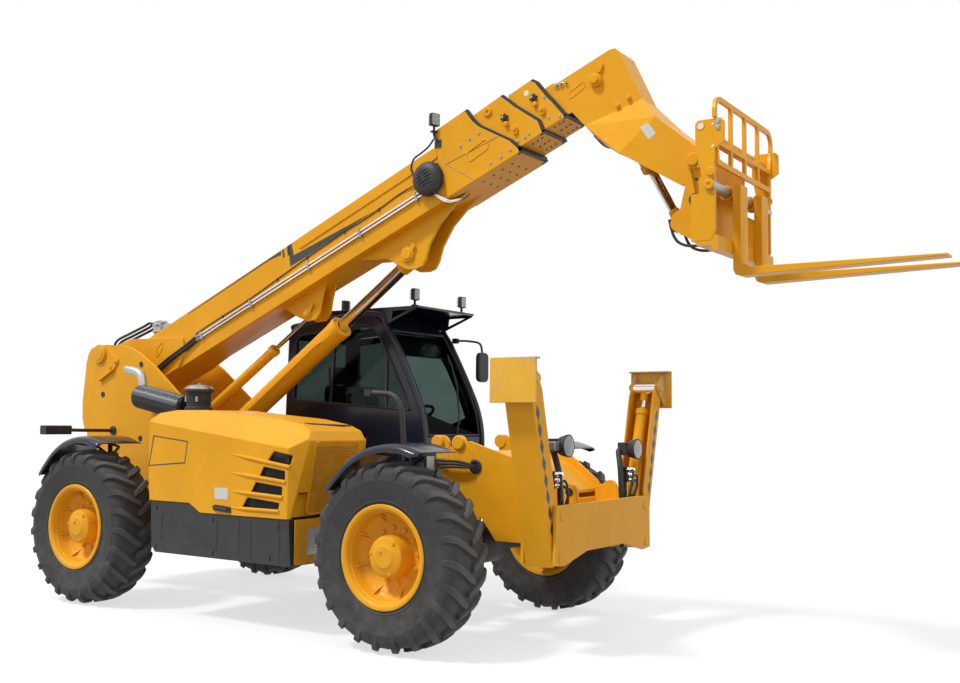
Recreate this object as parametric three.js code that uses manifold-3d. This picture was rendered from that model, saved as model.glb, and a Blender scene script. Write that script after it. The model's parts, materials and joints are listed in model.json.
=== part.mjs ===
// A four-section telescopic handler with a fork carriage, four steered wheels and two front stabilisers.
// Millimetres. While it is built, X runs forward from the rear axle, Y to the left and Z up from the ground;
// the whole machine is then moved along X so that the origin lies under the middle of its length.
import * as THREE from "three";
import { mergeVertices } from "three/addons/utils/BufferGeometryUtils.js";
import { ConvexGeometry } from "three/addons/geometries/ConvexGeometry.js";
import Module from "manifold-3d";

const wasm = await Module();
wasm.setup();

// ---------------------------------------------------------------- driving dimensions
const SEAT = 0.4; // gap left between two pieces that bear on each other
const RUN = 8; // gap left round a panel that swings

const WHEELBASE = 3292;
const TRACK = 2097; // between tyre centres
const TYRE_R = 638;
const TYRE_W = 400;
const RIM_R = 317.5;
const FLANGE_R = 350;
const WHEEL_SIDES = 24; // shared by tyre and rim, so that their faces lie side by side
const KINGPIN_Y = 800;
const HUB_R = 130;

const PLATE_OUT = 430; // outer face of the frame's side plates
const PLATE_T = 25;
const RAIL_LOW = 700;
const RAIL_TOP = 850;
const REAR_END = -1066;

const PIVOT = { x: -800, z: 2150 };
const BOOM_ANGLE = 22.5; // degrees above level, as parked
const BOOM_LENGTH = 4688; // pivot to the front end of the outer section
const BASE = { width: 370, top: 0, bottom: -440, wall: 12, from: 180 };
const SECOND = { width: 320, top: -25, bottom: -393, wall: 10, from: 350 };
const THIRD = { width: 278, top: -46, bottom: -371, wall: 10, from: 500 };
const INNER = { width: 236, top: -67, bottom: -350, wall: 10, from: 650 };
const STEP = 216; // how far each section's end stands out of the one before
const EAR = 13; // thickness of the collar plates at the sections' ends
const HEAD_W = INNER.width;
const NECK_W = 500;

const LIFT = { baseX: -350, baseZ: 820, pinU: 3420, pinV: -630, barrelR: 92, barrel: 2650, rodR: 52, eyeR: 70 };
const LEVEL = {
  baseX: -484,
  baseZ: 1155,
  pinU: 2240,
  pinV: -595,
  barrelR: 45,
  barrel: 1840,
  rodR: 20,
  eyeR: 35,
};
const PIN = { lift: 40, level: 28, tilt: 26, leg: 28, stab: 24 };
const TILT = {
  pinU: 5420,
  pinV: -243,
  clevisX: 4903,
  clevisZ: 2904,
  barrelR: 55,
  barrel: 773,
  rodR: 32,
  eyeR: 52,
};

const HINGE = { x: 5125, z: 3268 }; // carriage hinge
const CARRIAGE = { outY: 530, plate: 25, back: 5222, front: 5350, low: 2690, high: 3460 };
const SHAFT = { x: 5318, z: 3040, r: 35 };
const FORK = { y: 200, width: 130, back: 5365, thick: 55, low: 2490, high: 3085, tip: 6650, tipThick: 14 };

const LEG = { x: 4190, y: 650, z: 660, lean: 14, length: 1200, half: 105, wall: 12, inner: -75, outer: 65 };
const STAB = { y: 630, z: 930, barrelR: 44, barrel: 760, rodR: 24, eyeR: 42 };
const LEG_CLEAR = 5; // beside a leg, between the front beam's plates
const BEAM = { front: 4325, plate: 24, half: 720, low: 600, high: 1000, midLow: 672 };

const CAB = { right: 350, left: 1230, floor: 870, wall: 45, sill: 1610 };
const HOOD = { rear: 845, front: 2500, out: -1200, in: -455, low: 832, wall: 16 };
const SKIRT = { low: 500, wall: 16, rear: 930, front: 2430, out: -1192 };

// the parked machine reaches from the tower's rear edge to the fork tips
const ORIGIN_X = (REAR_END + FORK.tip) / 2;

// the rear face of the front beam, which is welded to the frame's nose
const BEAM_BACK = LEG.x - LEG.half - SEAT - LEG_CLEAR - BEAM.plate;

const rad = THREE.MathUtils.degToRad;

// ---------------------------------------------------------------- materials
const paint = (color, roughness, metalness = 0) => new THREE.MeshStandardMaterial({ color, roughness, metalness });
const YELLOW = paint(0xe0a030, 0.45);
const BLACK = paint(0x1b1d22, 0.4);
const GREY = paint(0x3a3d42, 0.6);
const RUBBER = paint(0x24262b, 0.9);
const STEEL = paint(0x8c8f94, 0.35, 0.9);
const CHROME = paint(0xd8dade, 0.12, 1);
const GLASS = new THREE.MeshStandardMaterial(
  { color: 0x9fb4ad, roughness: 0.05, transparent: true, opacity: 0.35 },
);
const FABRIC = paint(0x2a2b2e, 0.95);

// ---------------------------------------------------------------- solids
/** A closed three.js geometry as a solid that can be joined and cut. */
function solid(geometry) {
  const bare = geometry.clone();
  for (const name of Object.keys(bare.attributes)) if (name !== "position") bare.deleteAttribute(name);
  const merged = mergeVertices(bare, 1e-3);
  return new wasm.Manifold(
    new wasm.Mesh({
      numProp: 3,
      vertProperties: merged.attributes.position.array,
      triVerts: new Uint32Array(merged.index.array),
    }),
  );
}

const order = (a, b) => (a < b ? [a, b] : [b, a]);
const union = (...pieces) => pieces.flat().reduce((all, piece) => all.add(piece));

/** A block between two corners; each pair may be given in either order. */
function block(xs, ys, zs) {
  const [x0, x1] = order(...xs);
  const [y0, y1] = order(...ys);
  const [z0, z1] = order(...zs);
  const g = new THREE.BoxGeometry(x1 - x0, y1 - y0, z1 - z0);
  return solid(g.translate((x0 + x1) / 2, (y0 + y1) / 2, (z0 + z1) / 2));
}

const shapeOf = (outline) => new THREE.Shape(outline.map(([a, b]) => new THREE.Vector2(a, b)));
const flat = { bevelEnabled: false, curveSegments: 4 };

/** An outline in X and Z, as thick as the two Y values say. */
function sideplate(outline, ya, yb) {
  const [y0, y1] = order(ya, yb);
  const g = new THREE.ExtrudeGeometry(shapeOf(outline), { depth: y1 - y0, ...flat });
  return solid(g.rotateX(Math.PI / 2).translate(0, y1, 0));
}

/** An outline in Y and Z, as thick as the two X values say. */
function crossplate(outline, xa, xb) {
  const [x0, x1] = order(xa, xb);
  const g = new THREE.ExtrudeGeometry(shapeOf(outline), { depth: x1 - x0, ...flat });
  const turn = new THREE.Matrix4().makeBasis(
    new THREE.Vector3(0, 1, 0),
    new THREE.Vector3(0, 0, 1),
    new THREE.Vector3(1, 0, 0),
  );
  return solid(g.applyMatrix4(turn).translate(x0, 0, 0));
}

/** An outline in X and Y, between two heights. */
function floorplate(outline, z0, z1) {
  const g = new THREE.ExtrudeGeometry(shapeOf(outline), { depth: z1 - z0, ...flat });
  return solid(g.translate(0, 0, z0));
}

/** A round bar between two points. */
function bar(from, to, radius, sides = 12) {
  const a = new THREE.Vector3(...from);
  const b = new THREE.Vector3(...to);
  const along = b.clone().sub(a);
  const g = new THREE.CylinderGeometry(radius, radius, along.length(), sides);
  g.applyQuaternion(new THREE.Quaternion().setFromUnitVectors(new THREE.Vector3(0, 1, 0), along.normalize()));
  const mid = a.add(b).multiplyScalar(0.5);
  return solid(g.translate(mid.x, mid.y, mid.z));
}

/** A round bar across the machine, from one Y to another. */
const cross = (x, z, radius, ya, yb, sides = 12) => bar([x, ya, z], [x, yb, z], radius, sides);

/** The radius of a round hole that a pin of the same number of sides turns in without its corners touching. */
const boreFor = (pin, sides = 20) => (pin + SEAT) / Math.cos(Math.PI / sides);

/** A ring turned about a line along Y through x, z. The profile is a list of (radius, y). */
function turned(profile, x, z, sides = 24) {
  const points = profile.map(([r, y]) => new THREE.Vector2(r, y));
  const spin = (list) => solid(new THREE.LatheGeometry(list, sides).translate(x, 0, z));
  const made = spin(points);
  return made.volume() > 0 ? made : spin(points.reverse());
}

/** The outline moved inwards by the given distance, edge by edge. */
function inset(outline, distance) {
  const size = outline.length;
  const area = outline.reduce((sum, [x, y], i) => {
    const [nx, ny] = outline[(i + 1) % size];
    return sum + x * ny - nx * y;
  }, 0);
  const turn = Math.sign(area);
  const line = (i) => {
    const [x0, y0] = outline[(i + size) % size];
    const [x1, y1] = outline[(i + 1) % size];
    const length = Math.hypot(x1 - x0, y1 - y0);
    const nx = (-turn * (y1 - y0)) / length;
    const ny = (turn * (x1 - x0)) / length;
    return { nx, ny, d: nx * x0 + ny * y0 + distance };
  };
  return outline.map((_, i) => {
    const a = line(i - 1);
    const b = line(i);
    const det = a.nx * b.ny - b.nx * a.ny;
    return [(a.d * b.ny - b.d * a.ny) / det, (a.nx * b.d - b.nx * a.d) / det];
  });
}

/** Points on an arc from one angle to another, in degrees. */
function arc(cx, cy, r, from, to, steps = 4) {
  return Array.from({ length: steps + 1 }, (_, i) => {
    const a = rad(from + ((to - from) * i) / steps);
    return [cx + r * Math.cos(a), cy + r * Math.sin(a)];
  });
}

/** Names a solid, gives it its material and hangs it in a group. */
function place(group, name, shape, material) {
  const mesh = shape.getMesh();
  const g = new THREE.BufferGeometry();
  g.setAttribute("position", new THREE.BufferAttribute(new Float32Array(mesh.vertProperties), 3));
  g.setIndex(new THREE.BufferAttribute(new Uint32Array(mesh.triVerts), 1));
  g.computeVertexNormals();
  const made = new THREE.Mesh(g, material);
  made.name = name;
  group.add(made);
}

const machine = new THREE.Group();
machine.position.x = -ORIGIN_X;

// the boom's own frame: u along it from the pivot, y across, v square to it and up
const boom = new THREE.Group();
boom.position.set(PIVOT.x, 0, PIVOT.z);
boom.rotation.y = -rad(BOOM_ANGLE);
machine.add(boom);

/** A point given in the boom's u and v, as the machine's x and z. */
function fromBoom(u, v) {
  const a = rad(BOOM_ANGLE);
  return [PIVOT.x + u * Math.cos(a) - v * Math.sin(a), PIVOT.z + u * Math.sin(a) + v * Math.cos(a)];
}

// ---------------------------------------------------------------- wheels, knuckles and axles
const SIDES = { left: 1, right: -1 };
const AXLES = { front: WHEELBASE, rear: 0 };
const YOKE_GAP = 150; // half the height between a yoke's arms
const YOKE_ARM = 32;
const HUB_FACE = 1040; // where the rim bears on the hub

function tyre(x, side) {
  const mid = (side * TRACK) / 2;
  const half = TYRE_W / 2;
  const profile = [
    [RIM_R + SEAT, -160],
    [RIM_R + 165, -half],
    [TYRE_R - 48, -half + 8],
    [TYRE_R, -half + 62],
    [TYRE_R, half - 62],
    [TYRE_R - 48, half - 8],
    [RIM_R + 165, half],
    [RIM_R + SEAT, 160],
  ];
  profile.push(profile[0]);
  return turned(profile.map(([r, y]) => [r, mid + y]), x, TYRE_R, WHEEL_SIDES);
}

/** The rim: a barrel with two flanges, and the dished disc that carries the planetary hub. */
function rim(x, side) {
  const mid = TRACK / 2;
  const wall = 12;
  const profile = [
    [0, HUB_FACE],
    [RIM_R - wall, HUB_FACE],
    [RIM_R - wall, mid - 182],
    [FLANGE_R, mid - 182],
    [FLANGE_R, mid - 176],
    [RIM_R, mid - 162],
    [RIM_R, mid + 162],
    [FLANGE_R, mid + 176],
    [FLANGE_R, mid + 182],
    [RIM_R - wall, mid + 182],
    [RIM_R - wall - 25, HUB_FACE + 60],
    [160, HUB_FACE + 26],
    [138, HUB_FACE + 150],
    [92, HUB_FACE + 172],
    [0, HUB_FACE + 172],
  ];
  return turned(profile.map(([r, y]) => [r, side * y]), x, TYRE_R, WHEEL_SIDES);
}

function knuckle(x, side) {
  const y = (value) => side * value;
  return union(
    cross(x, TYRE_R, HUB_R, y(KINGPIN_Y + 62), y(HUB_FACE - SEAT), 20),
    block([x - 130, x + 130], [y(KINGPIN_Y - 10), y(KINGPIN_Y + 70)], [TYRE_R - 90, TYRE_R + 90]),
    bar([x, y(KINGPIN_Y), TYRE_R - YOKE_GAP + SEAT], [x, y(KINGPIN_Y), TYRE_R + YOKE_GAP - SEAT], 48),
  );
}

// the mudguard's line, from the axle's centre: behind the wheel, over its top and a little down in front
const GUARD_LINE = [
  [-532, 418],
  [-455, 520],
  [-340, 628],
  [-190, 712],
  [-20, 752],
  [130, 750],
  [300, 700],
];

function mudguard(x, side) {
  const skin = 10;
  const under = inset([...GUARD_LINE, [300, 0], [-532, 0]], skin).slice(0, GUARD_LINE.length);
  under[0] = [GUARD_LINE[0][0] + skin, GUARD_LINE[0][1] - skin * 0.4];
  under[under.length - 1] = [GUARD_LINE.at(-1)[0] - skin * 0.4, GUARD_LINE.at(-1)[1] - skin];
  const deep = GUARD_LINE.map(([a, b]) => [a * 0.94, b * 0.925]);
  const band = [...GUARD_LINE, ...under.reverse()];
  const lip = [...GUARD_LINE, ...deep.reverse()];
  const at = (outline) => outline.map(([a, b]) => [x + a, TYRE_R + b]);
  const y = (value) => side * value;
  return union(
    sideplate(at(band), y(KINGPIN_Y + 5), y(1250)),
    sideplate(at(lip), y(1242), y(1250)),
    block([x - 130, x - 92], [y(KINGPIN_Y + 5), y(KINGPIN_Y + 30)], [TYRE_R + 90 + SEAT, TYRE_R + 735]),
  );
}

/** A beam with a differential housing, spring pads under the side plates and a yoke at each end. */
function axle(x, flangeTowards, frameLow) {
  const half = KINGPIN_Y - 80;
  const pieces = [
    cross(x, TYRE_R, 82, -half, half, 16),
    turned([[0, -170], [95, -170], [150, -90], [150, 90], [95, 170], [0, 170]], x, TYRE_R, 20),
    bar([x, 0, TYRE_R], [x + flangeTowards * 260, 0, TYRE_R], 70),
  ];
  for (const side of Object.values(SIDES)) {
    const y = (value) => side * value;
    pieces.push(
      block([x - 100, x + 100], [y(PLATE_OUT - 55), y(PLATE_OUT + 15)], [TYRE_R, frameLow - SEAT]),
      block(
        [x - 55, x + 55],
        [y(half - 55), y(half)],
        [TYRE_R - YOKE_GAP - YOKE_ARM, TYRE_R + YOKE_GAP + YOKE_ARM],
      ),
    );
    for (const up of [-1, 1]) {
      const z = [TYRE_R + up * YOKE_GAP, TYRE_R + up * (YOKE_GAP + YOKE_ARM)];
      pieces.push(
        block([x - 55, x + 55], [y(half - 10), y(KINGPIN_Y)], z),
        bar([x, y(KINGPIN_Y), z[0]], [x, y(KINGPIN_Y), z[1]], 55),
      );
    }
  }
  return union(pieces);
}

for (const [end, x] of Object.entries(AXLES)) {
  place(machine, `${end}_axle`, axle(x, end === "front" ? -1 : 1, AXLE_ARCH(end)), BLACK);
  for (const [sideName, side] of Object.entries(SIDES)) {
    const name = `${end}_${sideName}`;
    place(machine, `knuckle_${name}`, knuckle(x, side), BLACK);
    place(machine, `mudguard_${name}`, mudguard(x, side), BLACK);
    place(machine, `tyre_${name}`, tyre(x, side), RUBBER);
    place(machine, `rim_${name}`, rim(x, side), YELLOW);
  }
}

// ---------------------------------------------------------------- frame
/** The underside of the side plates over an axle. */
function AXLE_ARCH(end) {
  return end === "front" ? RAIL_LOW + 160 : RAIL_LOW + 60;
}

/** One side plate: the boom's tower, the low rail beside the cab and the nose over the front axle. */
function sidePlateOutline() {
  const rearArch = AXLE_ARCH("rear");
  const frontArch = AXLE_ARCH("front");
  return [
    [-880, RAIL_LOW],
    [-960, 1380],
    [-1020, 1440],
    [REAR_END + 6, 1540],
    [REAR_END, 1700],
    [-1030, 2060],
    [-1005, 2150],
    [-960, 2208],
    [-840, 2237],
    [-490, 2222],
    [-355, 2190],
    [-250, 2146],
    [-50, 2030],
    [404, 1693],
    [660, 1470],
    [790, 1200],
    [820, RAIL_TOP],
    [2960, RAIL_TOP],
    [3120, 1180],
    [3250, 1340],
    [3330, 1395],
    [3446, 1400],
    [3812, 1293],
    [4030, 1120],
    [BEAM_BACK - SEAT, 1090],
    [BEAM_BACK - SEAT, 720],
    [3877, 705],
    [3669, 704],
    [3548, frontArch],
    [3040, frontArch],
    [2940, RAIL_LOW],
    [300, RAIL_LOW],
    [200, rearArch],
    [-200, rearArch],
    [-300, RAIL_LOW],
  ];
}

function frame() {
  const inner = PLATE_OUT - PLATE_T;
  const pieces = [
    block([-1010, -990], [-inner - 2, inner + 2], [1000, 1900]),
    block([830, 2930], [-inner - 2, inner + 2], [RAIL_LOW, RAIL_LOW + 20]),
    sideplate(
      [
        [3330, 1300],
        [3440, 1330],
        [3800, 1230],
        [4030, 1050],
        [4030, 1028],
        [3800, 1206],
        [3440, 1304],
        [3345, 1278],
      ],
      -inner - 2,
      inner + 2,
    ),
    block([3660, 4030], [-inner - 2, inner + 2], [720, 740]),
    cross(LIFT.baseX, LIFT.baseZ, PIN.lift, -inner - 2, inner + 2, 20),
    cross(LEVEL.baseX, LEVEL.baseZ, PIN.level, -inner - 2, inner + 2, 20),
  ];
  for (const side of Object.values(SIDES)) {
    const out = side * PLATE_OUT;
    const hole = cross(3500, 1220, 45, out + side * 5, side * (inner - 5));
    pieces.push(
      sideplate(sidePlateOutline(), side * inner, out).subtract(hole),
      cross(PIVOT.x, PIVOT.z, 82, out - side * 5, out + side * 38, 20),
    );
  }
  return union(pieces);
}
place(machine, "main_frame", frame(), YELLOW);

// ---------------------------------------------------------------- front beam and stabilisers
/** Two plates with pockets between them at each end, where the legs and their cylinders swing. */
function beam() {
  const back = BEAM_BACK + BEAM.plate;
  const face = LEG.x + LEG.half + SEAT + LEG_CLEAR;
  const full = [
    [-BEAM.half + 8, BEAM.high],
    [-BEAM.half, BEAM.low + 12],
    [-600, BEAM.low],
    [-280, BEAM.midLow],
    [280, BEAM.midLow],
    [600, BEAM.low],
    [BEAM.half, BEAM.low + 12],
    [BEAM.half - 8, BEAM.high],
  ];
  const pieces = [
    crossplate(full, face, BEAM.front),
    crossplate(full, BEAM_BACK, back),
    block([back - 2, face + 2], [-480, 480], [BEAM.high - 60, BEAM.high - 40]),
  ];
  for (const side of Object.values(SIDES)) {
    pieces.push(block([back - 2, face + 2], [side * 460, side * 480], [BEAM.midLow, BEAM.high - 40]));
  }
  return { pieces, back, face };
}

function frontBeam() {
  const { pieces, back, face } = beam();
  for (const side of Object.values(SIDES)) {
    const legPin = bar([back - 2, side * LEG.y, LEG.z], [face + 2, side * LEG.y, LEG.z], PIN.leg, 20);
    const ramPin = bar([back - 2, side * STAB.y, STAB.z], [face + 2, side * STAB.y, STAB.z], PIN.stab, 20);
    const lug = sideplate(
      [[back - 1, BEAM.high - 50], [back - 1, 1080], ...arc(4200, 1065, 62, 150, 0, 5), [4270, BEAM.high - 50]],
      side * 290,
      side * 315,
    );
    pieces.push(legPin, ramPin, lug);
  }
  return union(pieces);
}
place(machine, "front_beam", frontBeam(), YELLOW);

/** Leg and pad hang in a frame that leans outwards: w runs up the leg from its pivot, y outwards. */
for (const [sideName, side] of Object.entries(SIDES)) {
  const lean = new THREE.Group();
  lean.position.set(LEG.x, side * LEG.y, LEG.z);
  lean.rotation.x = -side * rad(LEG.lean);
  machine.add(lean);
  place(lean, `stabiliser_leg_${sideName}`, stabiliserLeg(side), YELLOW);
  place(machine, `stabiliser_pad_${sideName}`, stabiliserPad(side), YELLOW);
  stabiliserRam(sideName, side);
}

function stabiliserLeg(side) {
  const { half, wall, inner, outer, length } = LEG;
  const y = (value) => side * value;
  const sheet = [
    [y(-40), -50],
    [y(-40), 300],
    [y(inner), 360],
    [y(inner), length - 90],
    [y(-40), length + 38],
    [y(30), length + 38],
    [y(outer), length - 20],
    [y(outer), -50],
  ];
  const pieces = [
    crossplate(sheet, -half, -half + wall),
    crossplate(sheet, half - wall, half),
    block([-half, half], [y(outer - wall), y(outer)], [-50, length - 20]),
    bar([-half - LEG_CLEAR, 0, 0], [half + LEG_CLEAR, 0, 0], 50, 16),
  ];
  const bore = bar([-half - 20, 0, 0], [half + 20, 0, 0], boreFor(PIN.leg), 20);
  return union(pieces).subtract(bore);
}

/** The pin that the pad turns on, in the machine's frame. */
function padPin(side) {
  const a = rad(LEG.lean);
  return [side * (LEG.y + LEG.length * Math.sin(a)), LEG.z + LEG.length * Math.cos(a)];
}

function stabiliserPad(side) {
  const [py, pz] = padPin(side);
  const sole = py + side * 92;
  const y = (value) => py + side * value;
  const rib = [
    [y(-42), pz - 20],
    [y(-42), pz + 20],
    [y(-10), pz + 44],
    [sole, pz + 128],
    [sole, pz - 150],
    [y(-10), pz - 44],
  ];
  const in0 = LEG.half + SEAT;
  const pieces = [
    block([LEG.x - 175, LEG.x + 175], [sole - side * 2, sole + side * 14], [pz - 160, pz + 132]),
    block([LEG.x - 175, LEG.x + 175], [sole - side * 42, sole + side * 14], [pz + 120, pz + 132]),
  ];
  for (const end of [-1, 1]) {
    pieces.push(crossplate(rib, LEG.x + end * in0, LEG.x + end * (in0 + 14)));
    pieces.push(bar([LEG.x + end * (in0 + 10), py, pz], [LEG.x + end * (in0 + 30), py, pz], 30));
  }
  return union(pieces);
}

/** A hydraulic cylinder in its own group: z runs from the base pin to the rod's eye, x and y across it. */
function ramGroup(base, eye) {
  const group = new THREE.Group();
  const along = new THREE.Vector3(...eye).sub(new THREE.Vector3(...base));
  group.position.set(...base);
  group.quaternion.setFromUnitVectors(new THREE.Vector3(0, 0, 1), along.clone().normalize());
  machine.add(group);
  return { group, length: along.length() };
}

/** The barrel: a tube open at its gland, a base eye bored for its pin, and the gland's collar. */
function barrel(size, pin, across, eyeHalf) {
  const end = (d, t) => (across === "x" ? [d, 0, t] : [0, d, t]);
  const tube = bar([0, 0, 0], [0, 0, size.barrel], size.barrelR, 20);
  const collar = bar([0, 0, size.barrel - 45], [0, 0, size.barrel], size.barrelR + 8, 20);
  const eye = bar(end(-eyeHalf, 0), end(eyeHalf, 0), size.barrelR * 0.95, 20);
  const hollow = bar([0, 0, size.barrelR + 25], [0, 0, size.barrel + 10], size.rodR + SEAT + 1, 20);
  const pinHole = bar(end(-eyeHalf - 10, 0), end(eyeHalf + 10, 0), boreFor(pin), 20);
  return union(tube, collar, eye).subtract(pinHole).subtract(hollow);
}

/** The rod, with an eye at its end. It reaches back into the barrel by the given length. */
function rod(size, length, inside, across, eyeHalf) {
  const end = (d, t) => (across === "x" ? [d, 0, t] : [0, d, t]);
  return union(
    bar([0, 0, size.barrel - inside], [0, 0, length], size.rodR, 20),
    bar(end(-eyeHalf, length), end(eyeHalf, length), size.eyeR, 20),
  );
}

function stabiliserRam(sideName, side) {
  const [py, pz] = padPin(side);
  const { group, length } = ramGroup([LEG.x, side * STAB.y, STAB.z], [LEG.x, py - side * 8, pz - 12]);
  const inner = LEG.half - LEG.wall - SEAT;
  place(group, `stabiliser_barrel_${sideName}`, barrel(STAB, PIN.stab, "x", inner - 12), YELLOW);
  place(group, `stabiliser_rod_${sideName}`, rod(STAB, length, 480, "x", inner), CHROME);
}

// ---------------------------------------------------------------- boom
/** How far along the boom an edge stands at the height v. */
function edgeAt(edge, v) {
  const i = edge.findIndex(([, b]) => b < v);
  const [u0, v0] = edge[i - 1];
  const [u1, v1] = edge[i];
  return u0 + ((u1 - u0) * (v0 - v)) / (v0 - v1);
}

/**
 * A hollow box section. Its front end is raked along "edge", a line from the collar's top down to the box's lower
 * front corner. The collar plates stand on both sides from "rear", a line of the same kind, to the edge.
 */
function section(box, edge, rear, inner) {
  const half = box.width / 2;
  const inBox = edge.filter(([, v]) => v < box.top && v > box.bottom);
  const [endU] = edge.at(-1);
  const topU = edgeAt(edge, box.top);
  const profile = [[box.from, box.bottom], [box.from, box.top], [topU, box.top], ...inBox, [endU, box.bottom]];
  const hollow = block(
    [box.from - 10, endU + 10],
    [-half + box.wall, half - box.wall],
    [box.top - box.wall, box.bottom + box.wall],
  );
  const collar = [...rear, ...edge];
  const collars = [-1, 1].map((s) => sideplate(collar, s * (half - 1), s * (half + EAR)));
  const pieces = [sideplate(profile, -half, half).subtract(hollow), ...collars];
  if (inner) {
    // wear pads between this section and the one inside it
    const along = [endU - 430, endU - 330];
    pieces.push(
      block(along, [-half + 40, half - 40], [box.bottom + box.wall - 1, inner.bottom - SEAT]),
      block(along, [-half + 40, half - 40], [box.top - box.wall + 1, inner.top + SEAT]),
    );
    for (const s of [-1, 1]) {
      pieces.push(
        block(
          along,
          [s * (half - box.wall + 1), s * (inner.width / 2 + SEAT)],
          [inner.bottom + 60, inner.top - 60],
        ),
      );
    }
  }
  return union(pieces);
}

// the raked front edge of each section's collar, in u and v, from the top down
const BASE_EDGE = [
  [BOOM_LENGTH - 312, 116],
  [BOOM_LENGTH - 281, 5],
  [BOOM_LENGTH - 246, -67],
  [BOOM_LENGTH - 46, -312],
  [BOOM_LENGTH, -408],
  [BOOM_LENGTH, BASE.bottom],
];
const SECOND_EDGE = [
  [BOOM_LENGTH + 2, 60],
  [BOOM_LENGTH + 46, -18],
  [BOOM_LENGTH + 81, -84],
  [BOOM_LENGTH + STEP - 2, -289],
  [BOOM_LENGTH + STEP, SECOND.bottom],
];
const THIRD_EDGE = [
  [BOOM_LENGTH + 264, 41],
  [BOOM_LENGTH + 295, 2],
  [BOOM_LENGTH + 335, -134],
  [BOOM_LENGTH + 369, -222],
  [BOOM_LENGTH + 2 * STEP - 15, THIRD.bottom],
];
const CLEAR_OF = 8; // from a collar's front edge to the next collar's rear edge

/** The rear line of a collar that stands just ahead of the edge given, cut to the section's own height. */
function behind(edge, top, bottom) {
  const moved = edge.filter(([, v]) => v < top && v > bottom).map(([u, v]) => [u + CLEAR_OF, v]);
  const last = edge.at(-1)[0] + CLEAR_OF;
  return [[last, bottom], ...moved.reverse(), [moved.at(-1)[0], top]];
}

/** Bracket plates under the boom for a cylinder's eye, with a boss on each outer face. */
function bracket(outline, pin, inHalf, thick, bossR) {
  return [-1, 1].flatMap((s) => [
    sideplate(outline, s * inHalf, s * (inHalf + thick)),
    cross(pin[0], pin[1], bossR, s * (inHalf + thick - 1), s * (inHalf + thick + 22), 20),
  ]);
}

const LIFT_GAP = 75; // half the room between the lift bracket's plates
const LEVEL_GAP = 55;

function boomBase() {
  const low = BASE.bottom + 1;
  const inner = PLATE_OUT - PLATE_T - SEAT;
  const half = BASE.width / 2;
  const cheek = [
    [-112, 0],
    [-85, 78],
    [0, 118],
    [173, 95],
    [855, -205],
    [835, -328],
    [700, BASE.bottom],
    [150, BASE.bottom],
    [-85, -78],
  ];
  const liftPlate = [
    [2930, low],
    [3205, -560],
    [3285, -655],
    [3355, -735],
    [3440, -775],
    [3505, -782],
    [3560, -745],
    [3640, -650],
    [3790, -545],
    [3990, -470],
    [4140, low],
  ];
  const levelPlate = [
    [2010, low],
    [2110, -560],
    [2200, -650],
    [2300, -685],
    [2370, -650],
    [2440, -540],
    [2520, low],
  ];
  // room in the bottom plate for the eye of the lift cylinder's rod
  const pocket = block(
    [LIFT.pinU - 150, LIFT.pinU + 420],
    [-LIFT_GAP, LIFT_GAP],
    [BASE.bottom - 5, BASE.bottom + BASE.wall + 2],
  );
  return union(
    section(
      BASE,
      BASE_EDGE,
      [
        [BOOM_LENGTH - 700, BASE.bottom],
        [BOOM_LENGTH - 660, -2],
        [BOOM_LENGTH - 618, 112],
      ],
      SECOND,
    ),
    [-1, 1].map((s) => sideplate(cheek, s * (half - 1), s * (half + 20))),
    cross(0, 0, 88, -inner, inner, 20),
    bracket(liftPlate, [LIFT.pinU, LIFT.pinV], LIFT_GAP, 25, 62),
    bracket(levelPlate, [LEVEL.pinU, LEVEL.pinV], LEVEL_GAP, 20, 42),
  ).subtract(pocket);
}
place(boom, "boom_base", boomBase(), YELLOW);
place(boom, "boom_second", section(SECOND, SECOND_EDGE, behind(BASE_EDGE, 53, SECOND.bottom), THIRD), YELLOW);
place(boom, "boom_third", section(THIRD, THIRD_EDGE, behind(SECOND_EDGE, 38, THIRD.bottom), INNER), YELLOW);

// the head's side, from its rear edge over the top and down to the carriage hinge, in u and v
const HEAD_REAR = BOOM_LENGTH + 2 * STEP - 60;

function headShell(grow) {
  const half = HEAD_W / 2 - grow;
  const wide = NECK_W / 2 - grow;
  const upper = inset(
    [
      [HEAD_REAR, -84],
      [5596, -92],
      [5636, -106],
      [5658, -150],
      [5680, -568],
      [5610, -640],
      [5270, -660],
    ],
    grow,
  );
  const hull = (points) => solid(new ConvexGeometry(points.map((p) => new THREE.Vector3(...p))));
  const both = (list, y) => list.flatMap(([u, v]) => [[u, y, v], [u, -y, v]]);
  const facet = hull([
    ...both([[5212 + grow, -500], [5678 - grow, -560]], half),
    ...both([[5420 + grow, -890], [5755 - grow, -790]], wide),
    ...both([[5296 + grow, -715]], half),
  ]);
  return { upper: sideplate(upper, -half, half), facet, wide };
}

function neckOutline(grow) {
  const [hu, hv] = hingeInBoom();
  return [
    [5420 + grow, -885],
    [5744, -1330],
    ...arc(hu, hv, 72 - grow, -130, 30, 5),
    [5755 - grow, -785],
  ];
}

function hingeInBoom() {
  const a = rad(BOOM_ANGLE);
  const dx = HINGE.x - PIVOT.x;
  const dz = HINGE.z - PIVOT.z;
  return [dx * Math.cos(a) + dz * Math.sin(a), -dx * Math.sin(a) + dz * Math.cos(a)];
}

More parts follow.
